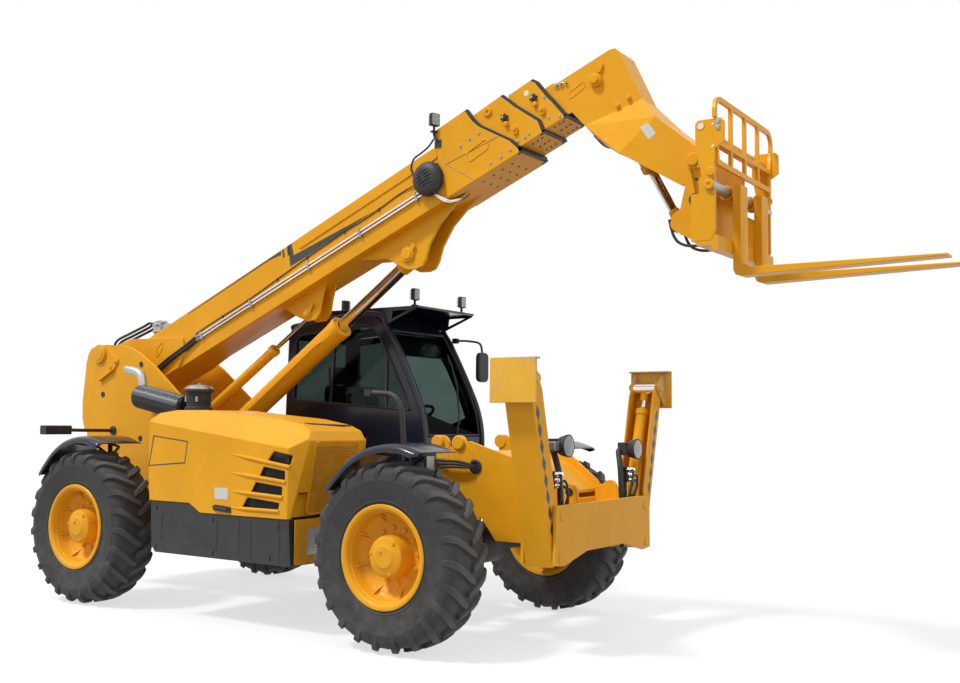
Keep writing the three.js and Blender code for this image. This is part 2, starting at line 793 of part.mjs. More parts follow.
/** The inner section: its tube, the deep head with its tilt-cylinder pin, and the open-bottomed neck. */
function boomHead() {
  const wall = 12;
  const outer = headShell(0);
  const inner = headShell(wall);
  const tubeHalf = INNER.width / 2;
  const tube = block([INNER.from, HEAD_REAR + 40], [-tubeHalf, tubeHalf], [INNER.top, INNER.bottom]);
  const bore = block(
    [INNER.from - 10, HEAD_REAR + 60],
    [-tubeHalf + INNER.wall, tubeHalf - INNER.wall],
    [INNER.top - INNER.wall, INNER.bottom + INNER.wall],
  );
  const neck = sideplate(neckOutline(0), -outer.wide, outer.wide);
  // everything between the neck's cheeks is open below and in front of the hinge
  const open = sideplate(
    [
      [5440, -880],
      [5400, -1000],
      [5600, -1500],
      [6100, -1500],
      [6100, -1130],
      [5862, -1120],
      [5758, -790],
    ],
    -inner.wide,
    inner.wide,
  );
  // the back stays open where the tilt cylinder swings
  const slot = block([5200, 5560], [-TILT.barrelR - 35, TILT.barrelR + 35], [-960, -560]);
  const [hu, hv] = hingeInBoom();
  const pieces = [
    [inner.upper, inner.facet, bore, open, slot].reduce(
      (all, cut) => all.subtract(cut),
      union(outer.upper, outer.facet, neck, tube),
    ),
  ];
  for (const s of [-1, 1]) {
    pieces.push(
      cross(TILT.pinU, TILT.pinV, 48, s * (HEAD_W / 2 - 1), s * (HEAD_W / 2 + 32), 20),
      cross(hu, hv, 50, s * (outer.wide - 1), s * (BRACKET_IN - SEAT), 20),
    );
  }
  pieces.push(cross(TILT.pinU, TILT.pinV, PIN.tilt, -HEAD_W / 2, HEAD_W / 2, 20));
  return union(pieces);
}

// ---------------------------------------------------------------- carriage, backrest and forks
const BRACKET_IN = 275; // inner face of the carriage's hinge brackets
const BRACKET_T = 25;
const CLEVIS_GAP = 62; // half the room between the tilt cylinder's lugs

place(boom, "boom_head", boomHead(), YELLOW);

function carriage() {
  const { outY, plate, back, front, low, high } = CARRIAGE;
  const side = [
    [back, high - 20],
    [back + 20, high],
    [front + 40, high],
    [front + 60, high - 20],
    [front + 60, high - 150],
    [front, high - 190],
    [front, low + 60],
    [front - 25, low],
    [back + 6, low],
    [back + 6, low + 170],
    [back + 38, low + 420],
    [back, low + 620],
  ];
  const bracketSide = [
    ...arc(HINGE.x, HINGE.z, 80, 60, 200, 6),
    [5052, 3096],
    [5020, 2960],
    [4965, 2920],
    ...arc(TILT.clevisX + 100, TILT.clevisZ - 40, 55, 150, 250, 4),
    [5106, 2740],
    [5235, 2690],
    [5245, 3280],
  ];
  const lug = [
    ...arc(TILT.clevisX, TILT.clevisZ, 62, 60, 290, 8),
    [5130, 2700],
    [5235, 2690],
    [5235, 2900],
    [5160, 2960],
  ];
  const pieces = [
    block([5190, 5235], [-outY + 2, outY - 2], [low, low + 150]),
    block([5215, 5240], [-BRACKET_IN - 2, BRACKET_IN + 2], [low, high - 180]),
    block([5225, 5340], [-outY + 2, outY - 2], [low - 30, low + 2]),
    block([FORK.back - 42, FORK.back - SEAT], [-outY + 2, outY - 2], [low - 60, low + 30]),
    cross(back + 60, high - 90, 38, -outY + 2, outY - 2, 12),
  ];
  for (const s of [-1, 1]) {
    pieces.push(
      sideplate(side, s * (outY - plate), s * outY).subtract(
        cross(SHAFT.x, SHAFT.z, SHAFT.r + SEAT + 0.4, s * (outY - plate - 5), s * (outY + 5)),
      ),
      sideplate(bracketSide, s * BRACKET_IN, s * (BRACKET_IN + BRACKET_T)),
      cross(HINGE.x, HINGE.z, 58, s * (BRACKET_IN + BRACKET_T - 1), s * (BRACKET_IN + BRACKET_T + 30), 20),
      block([5190, 5240], [s * BRACKET_IN, s * (outY - 2)], [low, low + 300]),
      sideplate(lug, s * CLEVIS_GAP, s * (CLEVIS_GAP + 22)),
    );
  }
  return union(pieces);
}
place(machine, "carriage", carriage(), YELLOW);
place(machine, "fork_shaft", cross(SHAFT.x, SHAFT.z, SHAFT.r, -CARRIAGE.outY - 12, CARRIAGE.outY + 12), STEEL);

/** A welded frame of flat bars, held between the carriage's side plates and wider above them. */
function backrest() {
  const { outY, plate, high: plateTop } = CARRIAGE;
  const half = outY - plate - SEAT;
  const wide = outY + 16;
  const low = plateTop - 290;
  const high = 3616;
  const step = plateTop + RUN;
  const corner = 95;
  const ring = [
    [-half, low],
    [half, low],
    [half, step],
    [wide, step],
    ...arc(wide - corner, high - corner, corner, 0, 90, 3),
    ...arc(-wide + corner, high - corner, corner, 90, 180, 3),
    [-wide, step],
    [-half, step],
  ];
  const hole = [
    [-half + 34, low + 34],
    [half - 34, low + 34],
    ...arc(wide - corner, high - corner, corner - 34, 0, 90, 3),
    ...arc(-wide + corner, high - corner, corner - 34, 90, 180, 3),
  ];
  const xs = [5340, 5362];
  const pieces = [
    crossplate(ring, ...xs).subtract(crossplate(hole, xs[0] - 5, xs[1] + 5)),
    block(xs, [-half + 2, half - 2], [low + 132, low + 162]),
  ];
  for (const at of [-0.5, 0, 0.5]) pieces.push(block(xs, [at * half - 16, at * half + 16], [low + 10, high - 10]));
  return union(pieces);
}
place(machine, "backrest", backrest(), YELLOW);

/** One fork: a blade that thins to its tip, a shank, and an eye that slides on the shaft. */
function fork(side) {
  const { y, width, back, thick, low, high, tip, tipThick } = FORK;
  const outline = [
    [back, high],
    [back, low + 40],
    [back + 16, low + 10],
    [back + 45, low],
    [tip, low + 34],
    [tip, low + 34 + tipThick],
    [back + thick + 60, low + thick],
    [back + thick, low + thick + 30],
    [back + thick, high],
  ];
  const ys = [side * (y - width / 2), side * (y + width / 2)];
  const eye = union(
    cross(SHAFT.x, SHAFT.z, SHAFT.r + 16, side * (y - 45), side * (y + 45), 16),
    block([SHAFT.x, back + 4], [side * (y - 45), side * (y + 45)], [SHAFT.z - 30, SHAFT.z + 30]),
  ).subtract(cross(SHAFT.x, SHAFT.z, SHAFT.r + SEAT, -1000, 1000));
  return union(sideplate(outline, ...ys), eye);
}
for (const [sideName, side] of Object.entries(SIDES)) place(machine, `fork_${sideName}`, fork(side), YELLOW);

// ---------------------------------------------------------------- boom cylinders
/** A cylinder in the machine's middle plane, from its base pin to its rod's eye. */
function centreRam(name, size, base, eye, inside, pin, baseHalf, eyeHalf, colour) {
  const { group, length } = ramGroup([base[0], 0, base[1]], [eye[0], 0, eye[1]]);
  place(group, `${name}_barrel`, barrel(size, pin, "y", baseHalf), colour);
  place(group, `${name}_rod`, rod(size, length, inside, "y", eyeHalf), CHROME);
}
const liftEye = fromBoom(LIFT.pinU, LIFT.pinV);
const levelEye = fromBoom(LEVEL.pinU, LEVEL.pinV);
const tiltBase = fromBoom(TILT.pinU, TILT.pinV);
centreRam("lift", LIFT, [LIFT.baseX, LIFT.baseZ], liftEye, 1350, PIN.lift, 90, LIFT_GAP - SEAT, YELLOW);
centreRam("levelling", LEVEL, [LEVEL.baseX, LEVEL.baseZ], levelEye, 1100, PIN.level, 50, LEVEL_GAP - SEAT, YELLOW);
centreRam("tilt", TILT, tiltBase, [TILT.clevisX, TILT.clevisZ], 320, PIN.tilt, 60, CLEVIS_GAP - SEAT, BLACK);

// ---------------------------------------------------------------- engine bay
// the hood's outline from the side, with a step in its lower edge
const hoodSide = [
  [HOOD.rear + 55, HOOD.low + 65],
  [1362, HOOD.low + 65],
  [1481, HOOD.low],
  [HOOD.front - 90, HOOD.low],
  [HOOD.front, 1392],
  [HOOD.front - 55, 1465],
  [2340, 1507],
  [2080, 1550],
  [1290, 1614],
  [1020, 1612],
  [880, 1588],
  [HOOD.rear, 1500],
];
// its corners seen from above
const hoodPlan = [
  [HOOD.rear, HOOD.in],
  [HOOD.rear, HOOD.out + 40],
  [HOOD.rear + 35, HOOD.out],
  [HOOD.front - 105, HOOD.out],
  [HOOD.front, HOOD.out + 120],
  [HOOD.front, HOOD.in],
];
// the air slots in its side, each from its upper rear corner
const HOOD_SLOTS = [
  [[2253, 1314], [2404, 1220], [2195, 1248]],
  [[2153, 1200], [2366, 1112], [2115, 1134]],
  [[2074, 1085], [2340, 1001], [2031, 1015]],
  [[1993, 970], [2306, 900], [1942, 897]],
];

/** The space under the sloping shoulder between the hood's side and its top, shrunk by the wall. */
function shoulder(less) {
  const end = (x, edge) => [
    [x, HOOD.in + 60, 1800],
    [x, HOOD.in + 60, 400],
    [x, HOOD.out + less, 400],
    [x, HOOD.out + less, edge - less * 1.6],
    [x, HOOD.out + less + 400, edge + 300 - less * 1.6],
  ];
  const points = [...end(700, 1540), ...end(2700, 1302)];
  return solid(new ConvexGeometry(points.map((p) => new THREE.Vector3(...p))));
}

/** The engine cover: one folded shell, open below and towards the frame. */
function hood() {
  const { wall, front, low } = HOOD;
  const outside = sideplate(hoodSide, HOOD.out, HOOD.in)
    .intersect(floorplate(hoodPlan, 400, 1800))
    .intersect(shoulder(0));
  const room = inset(hoodPlan, wall).map(([x, y]) => [x, y > HOOD.in - 60 ? HOOD.in + 50 : y]);
  const lower = inset(hoodSide, wall).map(([x, z]) => [x, z < low + 150 ? z - 200 : z]);
  const within = sideplate(lower, HOOD.out, HOOD.in + 50)
    .intersect(floorplate(room, 300, 1800))
    .intersect(shoulder(wall));
  const slots = HOOD_SLOTS.map(([a, b, c]) =>
    sideplate([a, [a[0] + (b[0] - c[0]) - 40, a[1] - 26], b, c], HOOD.out - 5, HOOD.out + wall + 12),
  );
  const grille = block([front - 160, front + 10], [-1000, -560], [low + 60, 1350]);
  return outside.subtract(within).subtract(union(slots)).subtract(grille);
}
place(machine, "engine_hood", hood(), YELLOW);

/** The skirt under the hood: a tray with an outer wall, hung on the frame's right side plate. */
function skirt() {
  const { low, wall, rear, front, out } = SKIRT;
  const frameFace = -PLATE_OUT - SEAT;
  const top = HOOD.low - SEAT;
  const side = [
    [rear - 20, top + 65],
    [rear, low + 50],
    [rear + 45, low],
    [front, low],
    [front - 22, top],
    [1481 - SEAT, top],
    [1362 - SEAT, top + 65],
  ];
  return union(
    sideplate(side, out, out + wall),
    block([rear + 45, front], [out, frameFace], [low, low + wall]),
    block([rear + 45, front], [frameFace - wall, frameFace], [low, RAIL_LOW + 60]),
    block([rear + 45, rear + 45 + wall], [out, frameFace], [low, top]),
    sideplate([[front - wall, low], [front, low], [front - 22, top], [front - 22 - wall, top]], out, frameFace),
  );
}
place(machine, "engine_skirt", skirt(), GREY);
place(machine, "engine_block", block([1130, 2240], [-1060, -540], [SKIRT.low + SKIRT.wall + SEAT, 1270]), GREY);

/** The cowl behind the hood that carries the air cleaner's cap and the silencer. */
function rearCowl() {
  const face = -PLATE_OUT - SEAT;
  return union(
    block([300, HOOD.rear - RUN], [-760, face], [1480, 1500]),
    block([HOOD.rear - RUN - 20, HOOD.rear - RUN], [-1100, face], [900, 1500]),
    block([300, HOOD.rear - RUN], [face - 16, face], [1400, 1500]),
  );
}
place(machine, "rear_cowl", rearCowl(), BLACK);

const AIR = { x: 703, y: -548, r: 129 };
place(
  machine,
  "air_cleaner",
  union(
    bar([AIR.x, AIR.y, 1500 + SEAT], [AIR.x, AIR.y, 1650], 62),
    bar([AIR.x, AIR.y, 1632], [AIR.x, AIR.y, 1740], 100, 16),
    bar([AIR.x, AIR.y, 1735], [AIR.x, AIR.y, 1806], AIR.r, 20),
    bar([AIR.x, AIR.y, 1800], [AIR.x, AIR.y, 1836], AIR.r * 0.75, 20),
  ),
  BLACK,
);

/** The silencer lies aslant on the cowl; its tail pipe bends up and back. */
function silencer() {
  const path = new THREE.CatmullRomCurve3(
    [
      [-20, -560, 1700],
      [-35, -560, 1800],
      [-60, -560, 1900],
      [-140, -560, 1962],
      [-250, -560, 1985],
    ].map((p) => new THREE.Vector3(...p)),
  );
  const ring = new THREE.Shape().absarc(0, 0, 38, 0, 2 * Math.PI);
  const pipe = solid(
    new THREE.ExtrudeGeometry(ring, { steps: 10, bevelEnabled: false, extrudePath: path, curveSegments: 5 }),
  );
  return union(
    bar([-60, -560, 1740], [552, -560, 1628], 105, 20),
    pipe,
    block([380, 420], [-600, -520], [1500 + SEAT, 1600]),
    block([480, 520], [-600, -520], [1500 + SEAT, 1600]),
  );
}
place(machine, "silencer", silencer(), STEEL);

// ---------------------------------------------------------------- cab
// the cab's side, from the rear foot up, over the roof and down the curved windscreen
const CAB_SIDE = [
  [CAB_REAR(), CAB.floor],
  [CAB_REAR(), 1616],
  [872, 2325],
  [905, 2385],
  [1008, 2412],
  [1859, 2478],
  [2023, 2340],
  [2155, 2130],
  [2330, 1800],
  [2405, 1620],
  [2444, 1412],
  [2440, 1050],
  [2380, CAB.floor],
];

function CAB_REAR() {
  return 850;
}

// the doorway and the door's window
const DOORWAY = [
  [925, 935],
  [925, 1600],
  [945, 2290],
  [1010, 2345],
  [1830, 2405],
  [1985, 2255],
  [2110, 2060],
  [2270, 1760],
  [2345, 1590],
  [2375, 1400],
  [2370, 1060],
  [2320, 935],
];
const DOOR_PANE = [
  [985, 1430],
  [1000, 2270],
  [1810, 2340],
  [1930, 2215],
  [2055, 2030],
  [2210, 1740],
  [2280, 1570],
  [2300, 1430],
];

// the door hangs on two pins behind it, outside the cab's wall
const DOOR_HINGE = { x: 905, y: CAB.left + 18, r: 14, heights: [1130, 1900], tall: 40 };
/** The half of each hinge that belongs to the cab (up = 0) or, standing on it, to the door (up = 1). */
function doorHinges(up) {
  const { x, y, r, heights, tall } = DOOR_HINGE;
  return heights.flatMap((z) => {
    const low = z + up * (tall + SEAT);
    const knuckle = bar([x, y, low], [x, y, low + tall], r);
    if (!up) return [knuckle, block([x - r, x + r - 6], [CAB.left - 10, y], [low, low + tall])];
    return [
      knuckle,
      block([x, 990], [y - 6, y + 6], [low, low + tall]),
      block([950, 990], [CAB.left - 12, y + 6], [low, low + tall]),
    ];
  });
}

/** The cab's shell: outer skin less its inside, its windows and the doorway on the left. */
function cabShell() {
  const { right, left, wall } = CAB;
  const skin = sideplate(CAB_SIDE, right, left).subtract(
    sideplate(inset(CAB_SIDE, wall), right + wall, left - wall),
  );
  const doorway = sideplate(DOORWAY, left - wall - 5, left + 5);
  const cut = union(doorway, sideWindow(0), frontWindow(0), rearWindow(0), roofWindow(0));
  return union(skin.subtract(cut), doorHinges(0));
}

function sideWindow(less) {
  const line = inset(CAB_SIDE, 95 + less);
  const above = sideplate(
    [[0, 1790 + less], [2600, 1610 + less], [2600, 3000], [0, 3000]],
    -100,
    CAB.right + 100,
  );
  return sideplate(line, CAB.right - 10, CAB.right + CAB.wall + 10).intersect(above);
}

function frontWindow(less) {
  return block([2000, 2700], [CAB.right + 60 + less, CAB.left - 60 - less], [1420 + less, 2330 - less]);
}

function rearWindow(less) {
  return block([700, 1000], [CAB.right + 90 + less, CAB.left - 90 - less], [1700 + less, 2280 - less]);
}

function roofWindow(less) {
  return block([1150 + less, 1750 - less], [CAB.right + 120 + less, CAB.left - 120 - less], [2300, 2600]);
}

/** A pane that follows the cab's curved outline, a little inside its outer face. */
function pane(opening) {
  const { right, left } = CAB;
  const sheet = sideplate(inset(CAB_SIDE, 14), right, left).subtract(
    sideplate(inset(CAB_SIDE, 22), right - 5, left + 5),
  );
  return sheet.intersect(opening);
}

place(machine, "cab_shell", cabShell(), BLACK);
place(machine, "windscreen", pane(frontWindow(SEAT)), GLASS);
place(machine, "rear_glass", pane(rearWindow(SEAT)), GLASS);
place(machine, "roof_glass", pane(roofWindow(SEAT)), GLASS);
place(
  machine,
  "side_glass",
  sideWindow(SEAT).intersect(block([0, 4000], [CAB.right + 14, CAB.right + 22], [0, 4000])),
  GLASS,
);

/** The roof guard: a flat sheet over the cab that overhangs the windscreen, on two side gussets. */
function roofGuard() {
  const ys = [CAB.right + 10, CAB.left - 10];
  const gusset = [[1160, 2430], [1160, 2512], [2326, 2512], [2330, 2498], [2010, 2372], [1860, 2440]];
  const hole = sideplate([[2060, 2420], [2070, 2488], [2250, 2490]], CAB.right - 5, CAB.left + 5);
  const sides = [[ys[0], ys[0] + 12], [ys[1] - 12, ys[1]]].map(
    ([a, b]) => sideplate(gusset, a, b).subtract(hole),
  );
  const clear = sideplate(inset(CAB_SIDE, -SEAT), CAB.right - 50, CAB.left + 50);
  return union(block([1150, 2336], ys, [2510, 2524]), sides).subtract(clear);
}
place(machine, "roof_guard", roofGuard(), BLACK);

function doorFrame() {
  const slab = sideplate(inset(DOORWAY, RUN), CAB.left - CAB.wall, CAB.left - 2);
  return union(slab.subtract(sideplate(DOOR_PANE, CAB.left - 200, CAB.left + 50)), doorHinges(1));
}
const doorGlass = () => sideplate(inset(DOOR_PANE, SEAT), CAB.left - 28, CAB.left - 20);
place(machine, "cab_door", doorFrame(), BLACK);
place(machine, "door_glass", doorGlass(), GLASS);

const FLOOR_TOP = CAB.floor + CAB.wall + SEAT;

function seat() {
  const [y0, y1] = [620, 1040];
  return union(
    block([1200, 1560], [y0 + 60, y1 - 60], [FLOOR_TOP, FLOOR_TOP + 330]),
    sideplate([[1130, 1240], [1700, 1240], [1730, 1300], [1700, 1360], [1160, 1330]], y0, y1),
    sideplate([[1040, 1340], [1180, 1290], [1130, 1900], [1050, 1930], [985, 1900]], y0, y1),
  );
}
place(machine, "driver_seat", seat(), FABRIC);

function dashboard() {
  return union(
    sideplate(
      [[2190, FLOOR_TOP], [2340, FLOOR_TOP], [2360, 1330], [2190, 1420], [2110, 1400], [2140, 1250]],
      560,
      1100,
    ),
    bar([2160, 830, 1300], [1985, 830, 1560], 32, 12),
    block([1150, 1750], [CAB.right + CAB.wall + SEAT, 560], [FLOOR_TOP, 1400]),
    block([1600, 2300], [CAB.right + CAB.wall + SEAT, 600], [FLOOR_TOP, FLOOR_TOP + 60]),
  );
}
place(machine, "dashboard", dashboard(), GREY);

/** The tank under the cab, with two steps cut into its outer face below the door. */
function fuelTank() {
  const top = CAB.floor - SEAT;
  const face = PLATE_OUT + SEAT;
  const body = union(
    block([900, 2380], [520, 1190], [430, top]),
    block([1000, 2300], [face, 525], [RAIL_LOW + 30, top - 60]),
  );
  const step = (z) => block([1680, 2240], [1000, 1300], [z, z + 150]);
  return body.subtract(step(480)).subtract(step(660));
}
place(machine, "fuel_tank", fuelTank(), BLACK);

export default machine;
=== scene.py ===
import json
import math

import bmesh
import bpy
import numpy as np
from mathutils import Matrix, Vector

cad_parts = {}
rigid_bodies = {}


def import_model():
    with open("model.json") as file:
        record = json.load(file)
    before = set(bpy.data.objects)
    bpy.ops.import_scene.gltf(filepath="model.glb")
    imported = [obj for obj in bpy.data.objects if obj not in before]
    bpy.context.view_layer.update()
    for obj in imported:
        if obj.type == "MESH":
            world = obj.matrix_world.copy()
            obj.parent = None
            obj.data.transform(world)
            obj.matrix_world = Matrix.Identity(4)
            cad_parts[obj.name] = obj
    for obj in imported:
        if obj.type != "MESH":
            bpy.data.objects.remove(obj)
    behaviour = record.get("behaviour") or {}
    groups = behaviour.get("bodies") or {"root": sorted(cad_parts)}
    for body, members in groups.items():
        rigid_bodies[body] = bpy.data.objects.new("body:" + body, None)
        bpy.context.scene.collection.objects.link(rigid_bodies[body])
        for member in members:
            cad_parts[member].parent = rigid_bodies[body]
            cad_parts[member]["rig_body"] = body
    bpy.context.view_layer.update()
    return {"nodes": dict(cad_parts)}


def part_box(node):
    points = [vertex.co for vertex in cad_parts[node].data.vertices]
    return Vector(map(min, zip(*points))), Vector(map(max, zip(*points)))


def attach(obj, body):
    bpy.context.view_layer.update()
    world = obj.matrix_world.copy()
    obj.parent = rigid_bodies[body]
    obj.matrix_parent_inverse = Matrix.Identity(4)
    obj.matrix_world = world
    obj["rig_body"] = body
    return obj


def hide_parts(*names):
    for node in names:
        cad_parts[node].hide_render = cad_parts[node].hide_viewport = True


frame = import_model()

# ---------------------------------------------------------------- studio
# A pale floor under an even white sky, with a soft sun high on the machine's right, a faint wide
# light from the front, and the camera low in front of the right front wheel.
REAR_AXLE = Vector([sum(c[0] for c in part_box("rim_rear_left")) / 2, 0, 0])


def studio():
    scene = bpy.context.scene
    scene.view_settings.view_transform = "Standard"
    yaw, pitch, roll = (math.radians(a) for a in (33.959, 4.362, 0.570))
    right = Vector((math.cos(yaw), math.sin(yaw), 0))
    ahead = Vector((-math.sin(yaw) * math.cos(pitch), math.cos(yaw) * math.cos(pitch), math.sin(pitch)))
    above = right.cross(ahead)
    across = math.cos(roll) * right + math.sin(roll) * above
    upward = -math.sin(roll) * right + math.cos(roll) * above
    lens = bpy.data.cameras.new("camera")
    lens.lens = 40.02
    lens.sensor_width = 36
    lens.clip_end = 200
    camera = bpy.data.objects.new("camera", lens)
    scene.collection.objects.link(camera)
    place = Matrix((across, upward, -ahead)).transposed().to_4x4()
    place.translation = Vector((7.818, -6.807, 1.534)) + REAR_AXLE
    camera.matrix_world = place
    scene.camera = camera
    sun = bpy.data.lights.new("sun", "SUN")
    sun.energy = 2.35
    sun.angle = math.radians(9)
    sun.color = (1, 0.97, 0.92)
    sun_object = bpy.data.objects.new("sun", sun)
    sun_object.rotation_euler = (math.radians(34), 0, math.radians(-32))
    scene.collection.objects.link(sun_object)
    fill = bpy.data.lights.new("fill", "SUN")
    fill.energy = 0.42
    fill.angle = math.radians(70)
    fill.specular_factor = 0.0
    fill_object = bpy.data.objects.new("fill", fill)
    fill_object.rotation_euler = (0, math.radians(82), 0)
    scene.collection.objects.link(fill_object)


def node(tree, kind, settings=None, **inputs):
    """Adds a shader node; an input is named, or i and its number, and is a value or another node's socket."""
    made = tree.nodes.new("ShaderNode" + kind)
    for key, value in (settings or {}).items():
        setattr(made, key, value)
    for key, value in inputs.items():
        numbered = key[0] == "i" and key[1:].isdigit()
        socket = made.inputs[int(key[1:]) if numbered else key.replace("_", " ")]
        if isinstance(value, bpy.types.NodeSocket):
            tree.links.new(value, socket)
        else:
            socket.default_value = value
    return made


def seen_directly(tree):
    """1 where the camera, a mirror or a window looks, 0 where the light lands."""
    path = node(tree, "LightPath").outputs
    one = node(tree, "Math", {"operation": "MAXIMUM"}, i0=path["Is Camera Ray"], i1=path["Is Glossy Ray"])
    return node(tree, "Math", {"operation": "MAXIMUM"}, i0=one.outputs[0],
        i1=path["Is Transmission Ray"]).outputs[0]


def sky():
    world = bpy.data.worlds.new("sky")
    bpy.context.scene.world = world
    world.use_nodes = True
    tree = world.node_tree
    strength = node(tree, "MapRange", None, i0=seen_directly(tree), i3=0.72, i4=1.0)
    background = tree.nodes["Background"]
    background.inputs[0].default_value = (1, 1, 1, 1)
    tree.links.new(strength.outputs[0], background.inputs[1])


def floor():
    mesh = bpy.data.meshes.new("floor")
    mesh.from_pydata([(-60, -60, 0), (60, -60, 0), (60, 60, 0), (-60, 60, 0)], [], [(0, 1, 2, 3)])
    made = bpy.data.objects.new("floor", mesh)
    bpy.context.scene.collection.objects.link(made)
    finish = bpy.data.materials.new("floor")
    finish.use_nodes = True
    tree = finish.node_tree
    tree.nodes.remove(tree.nodes["Principled BSDF"])
    matt = node(tree, "BsdfDiffuse", None, Color=(0.32, 0.32, 0.32, 1))
    glow = node(tree, "Emission", None, Color=(1, 1, 1, 1))
    strength = node(tree, "Math", {"operation": "MULTIPLY"}, i0=seen_directly(tree), i1=0.67)
    tree.links.new(strength.outputs[0], glow.inputs[1])
    both = node(tree, "AddShader", None, i0=matt.outputs[0], i1=glow.outputs[0])
    tree.links.new(both.outputs[0], tree.nodes["Material Output"].inputs[0])
    mesh.materials.append(finish)


studio()
sky()
floor()

# ---------------------------------------------------------------- paint, rubber and metal
# Sprayed enamel over welded plate: a broad change of tone, fine orange peel, paint rubbed thin along
# the edges together with a painted highlight that lightens every edge, and dust on what faces up. Every
# finish on the machine is this one group with its own values.


def weathering():
    """The group's outputs are the surface's colour, roughness and height."""
    tree = bpy.data.node_groups.new("weathering", "ShaderNodeTree")
    for name, kind, default in (
        ("Paint", "Color", (0.8, 0.8, 0.8, 1)),
        ("Worn", "Color", (0.8, 0.8, 0.8, 1)),
        ("Dust", "Color", (0.45, 0.40, 0.33, 1)),
        ("Tone", "Float", 0.05),
        ("Edge wear", "Float", 0.5),
        ("Edge width", "Float", 0.006),
        ("Dust amount", "Float", 0.3),
        ("Gloss", "Float", 0.4),
        ("Grain", "Float", 300.0),
    ):
        socket = tree.interface.new_socket(name, in_out="INPUT", socket_type="NodeSocket" + kind)
        socket.default_value = default
    for name, kind in (("Color", "Color"), ("Roughness", "Float"), ("Height", "Float")):
        tree.interface.new_socket(name, in_out="OUTPUT", socket_type="NodeSocket" + kind)
    given = tree.nodes.new("NodeGroupInput").outputs
    place = node(tree, "TexCoord").outputs["Object"]
    broad = node(tree, "TexNoise", None, Vector=place, Scale=1.7, Detail=4.0).outputs[0]
    patchy = node(tree, "TexNoise", None, Vector=place, Scale=9.0, Detail=6.0, Roughness=0.65).outputs[0]
    fine = node(tree, "TexNoise", None, Vector=place, Scale=70.0, Detail=5.0, Roughness=0.7).outputs[0]
    grain = node(tree, "TexNoise", None, Vector=place, Scale=given["Grain"], Detail=2.0).outputs[0]
    darker = node(tree, "Math", {"operation": "SUBTRACT"}, i0=1.0, i1=given["Tone"]).outputs[0]
    lighter = node(tree, "Math", {"operation": "ADD"}, i0=1.0, i1=given["Tone"]).outputs[0]
    both = node(tree, "Math", {"operation": "MULTIPLY_ADD"}, i0=broad, i1=0.7, i2=0.0).outputs[0]
    both = node(tree, "Math", {"operation": "MULTIPLY_ADD"}, i0=patchy, i1=0.3, i2=both).outputs[0]
    tone = node(tree, "MapRange", None, i0=both, i1=0.35, i2=0.65, i3=darker, i4=lighter).outputs[0]
    paint = node(tree, "VectorMath", {"operation": "SCALE"}, Vector=given["Paint"], Scale=tone).outputs[0]
    shape = node(tree, "NewGeometry").outputs
    # Edges: where the Bevel node's normal leaves the face's own, the colour turns toward the edge colour.
    # This is rubbed paint in patches, plus a painted highlight on every edge, since the patch mask never
    # falls below 0.15.
    round_off = node(tree, "Bevel", {"samples": 4}, Radius=given["Edge width"]).outputs[0]
    flat = node(tree, "VectorMath", {"operation": "DOT_PRODUCT"}, i0=round_off,
        i1=shape["Normal"]).outputs["Value"]
    edge = node(tree, "MapRange", None, i0=flat, i1=0.99, i2=0.82, i3=0.0, i4=1.0).outputs[0]
    chips_and_highlight = node(tree, "MapRange", None, i0=patchy, i1=0.46, i2=0.62, i3=0.15, i4=1.0).outputs[0]
    worn_and_highlit = node(tree, "Math", {"operation": "MULTIPLY"}, i0=edge, i1=chips_and_highlight).outputs[0]
    worn_and_highlit = node(tree, "Math", {"operation": "MULTIPLY"}, i0=worn_and_highlit, i1=given["Edge wear"]).outputs[0]
    colour = node(tree, "Mix", {"data_type": "RGBA"}, i0=worn_and_highlit, i6=paint, i7=given["Worn"]).outputs[2]
    up = node(tree, "SeparateXYZ", None, i0=shape["Normal"]).outputs[2]
    lying = node(tree, "MapRange", None, i0=up, i1=0.35, i2=1.0, i3=0.0, i4=0.55).outputs[0]
    height = node(tree, "SeparateXYZ", None, i0=place).outputs[2]
    splash = node(tree, "MapRange", None, i0=height, i1=1.0, i2=0.25, i3=0.05, i4=0.6).outputs[0]
    dusty = node(tree, "Math", {"operation": "MAXIMUM"}, i0=lying, i1=splash).outputs[0]
    cloud = node(tree, "MapRange", None, i0=patchy, i1=0.38, i2=0.68, i3=0.1, i4=1.0).outputs[0]
    dusty = node(tree, "Math", {"operation": "MULTIPLY"}, i0=dusty, i1=cloud).outputs[0]
    dusty = node(tree, "Math", {"operation": "MULTIPLY", "use_clamp": True}, i0=dusty,
        i1=given["Dust amount"]).outputs[0]
    colour = node(tree, "Mix", {"data_type": "RGBA"}, i0=dusty, i6=colour, i7=given["Dust"]).outputs[2]
    matt = node(tree, "Math", {"operation": "MULTIPLY_ADD"}, i0=dusty, i1=0.45, i2=given["Gloss"]).outputs[0]
    matt = node(tree, "Math", {"operation": "MULTIPLY_ADD"}, i0=fine, i1=0.10, i2=matt).outputs[0]
    out = tree.nodes.new("NodeGroupOutput").inputs
    for value, socket in ((colour, 0), (matt, 1), (grain, 2)):
        tree.links.new(value, out[socket])
    return tree


WEATHERING = weathering()


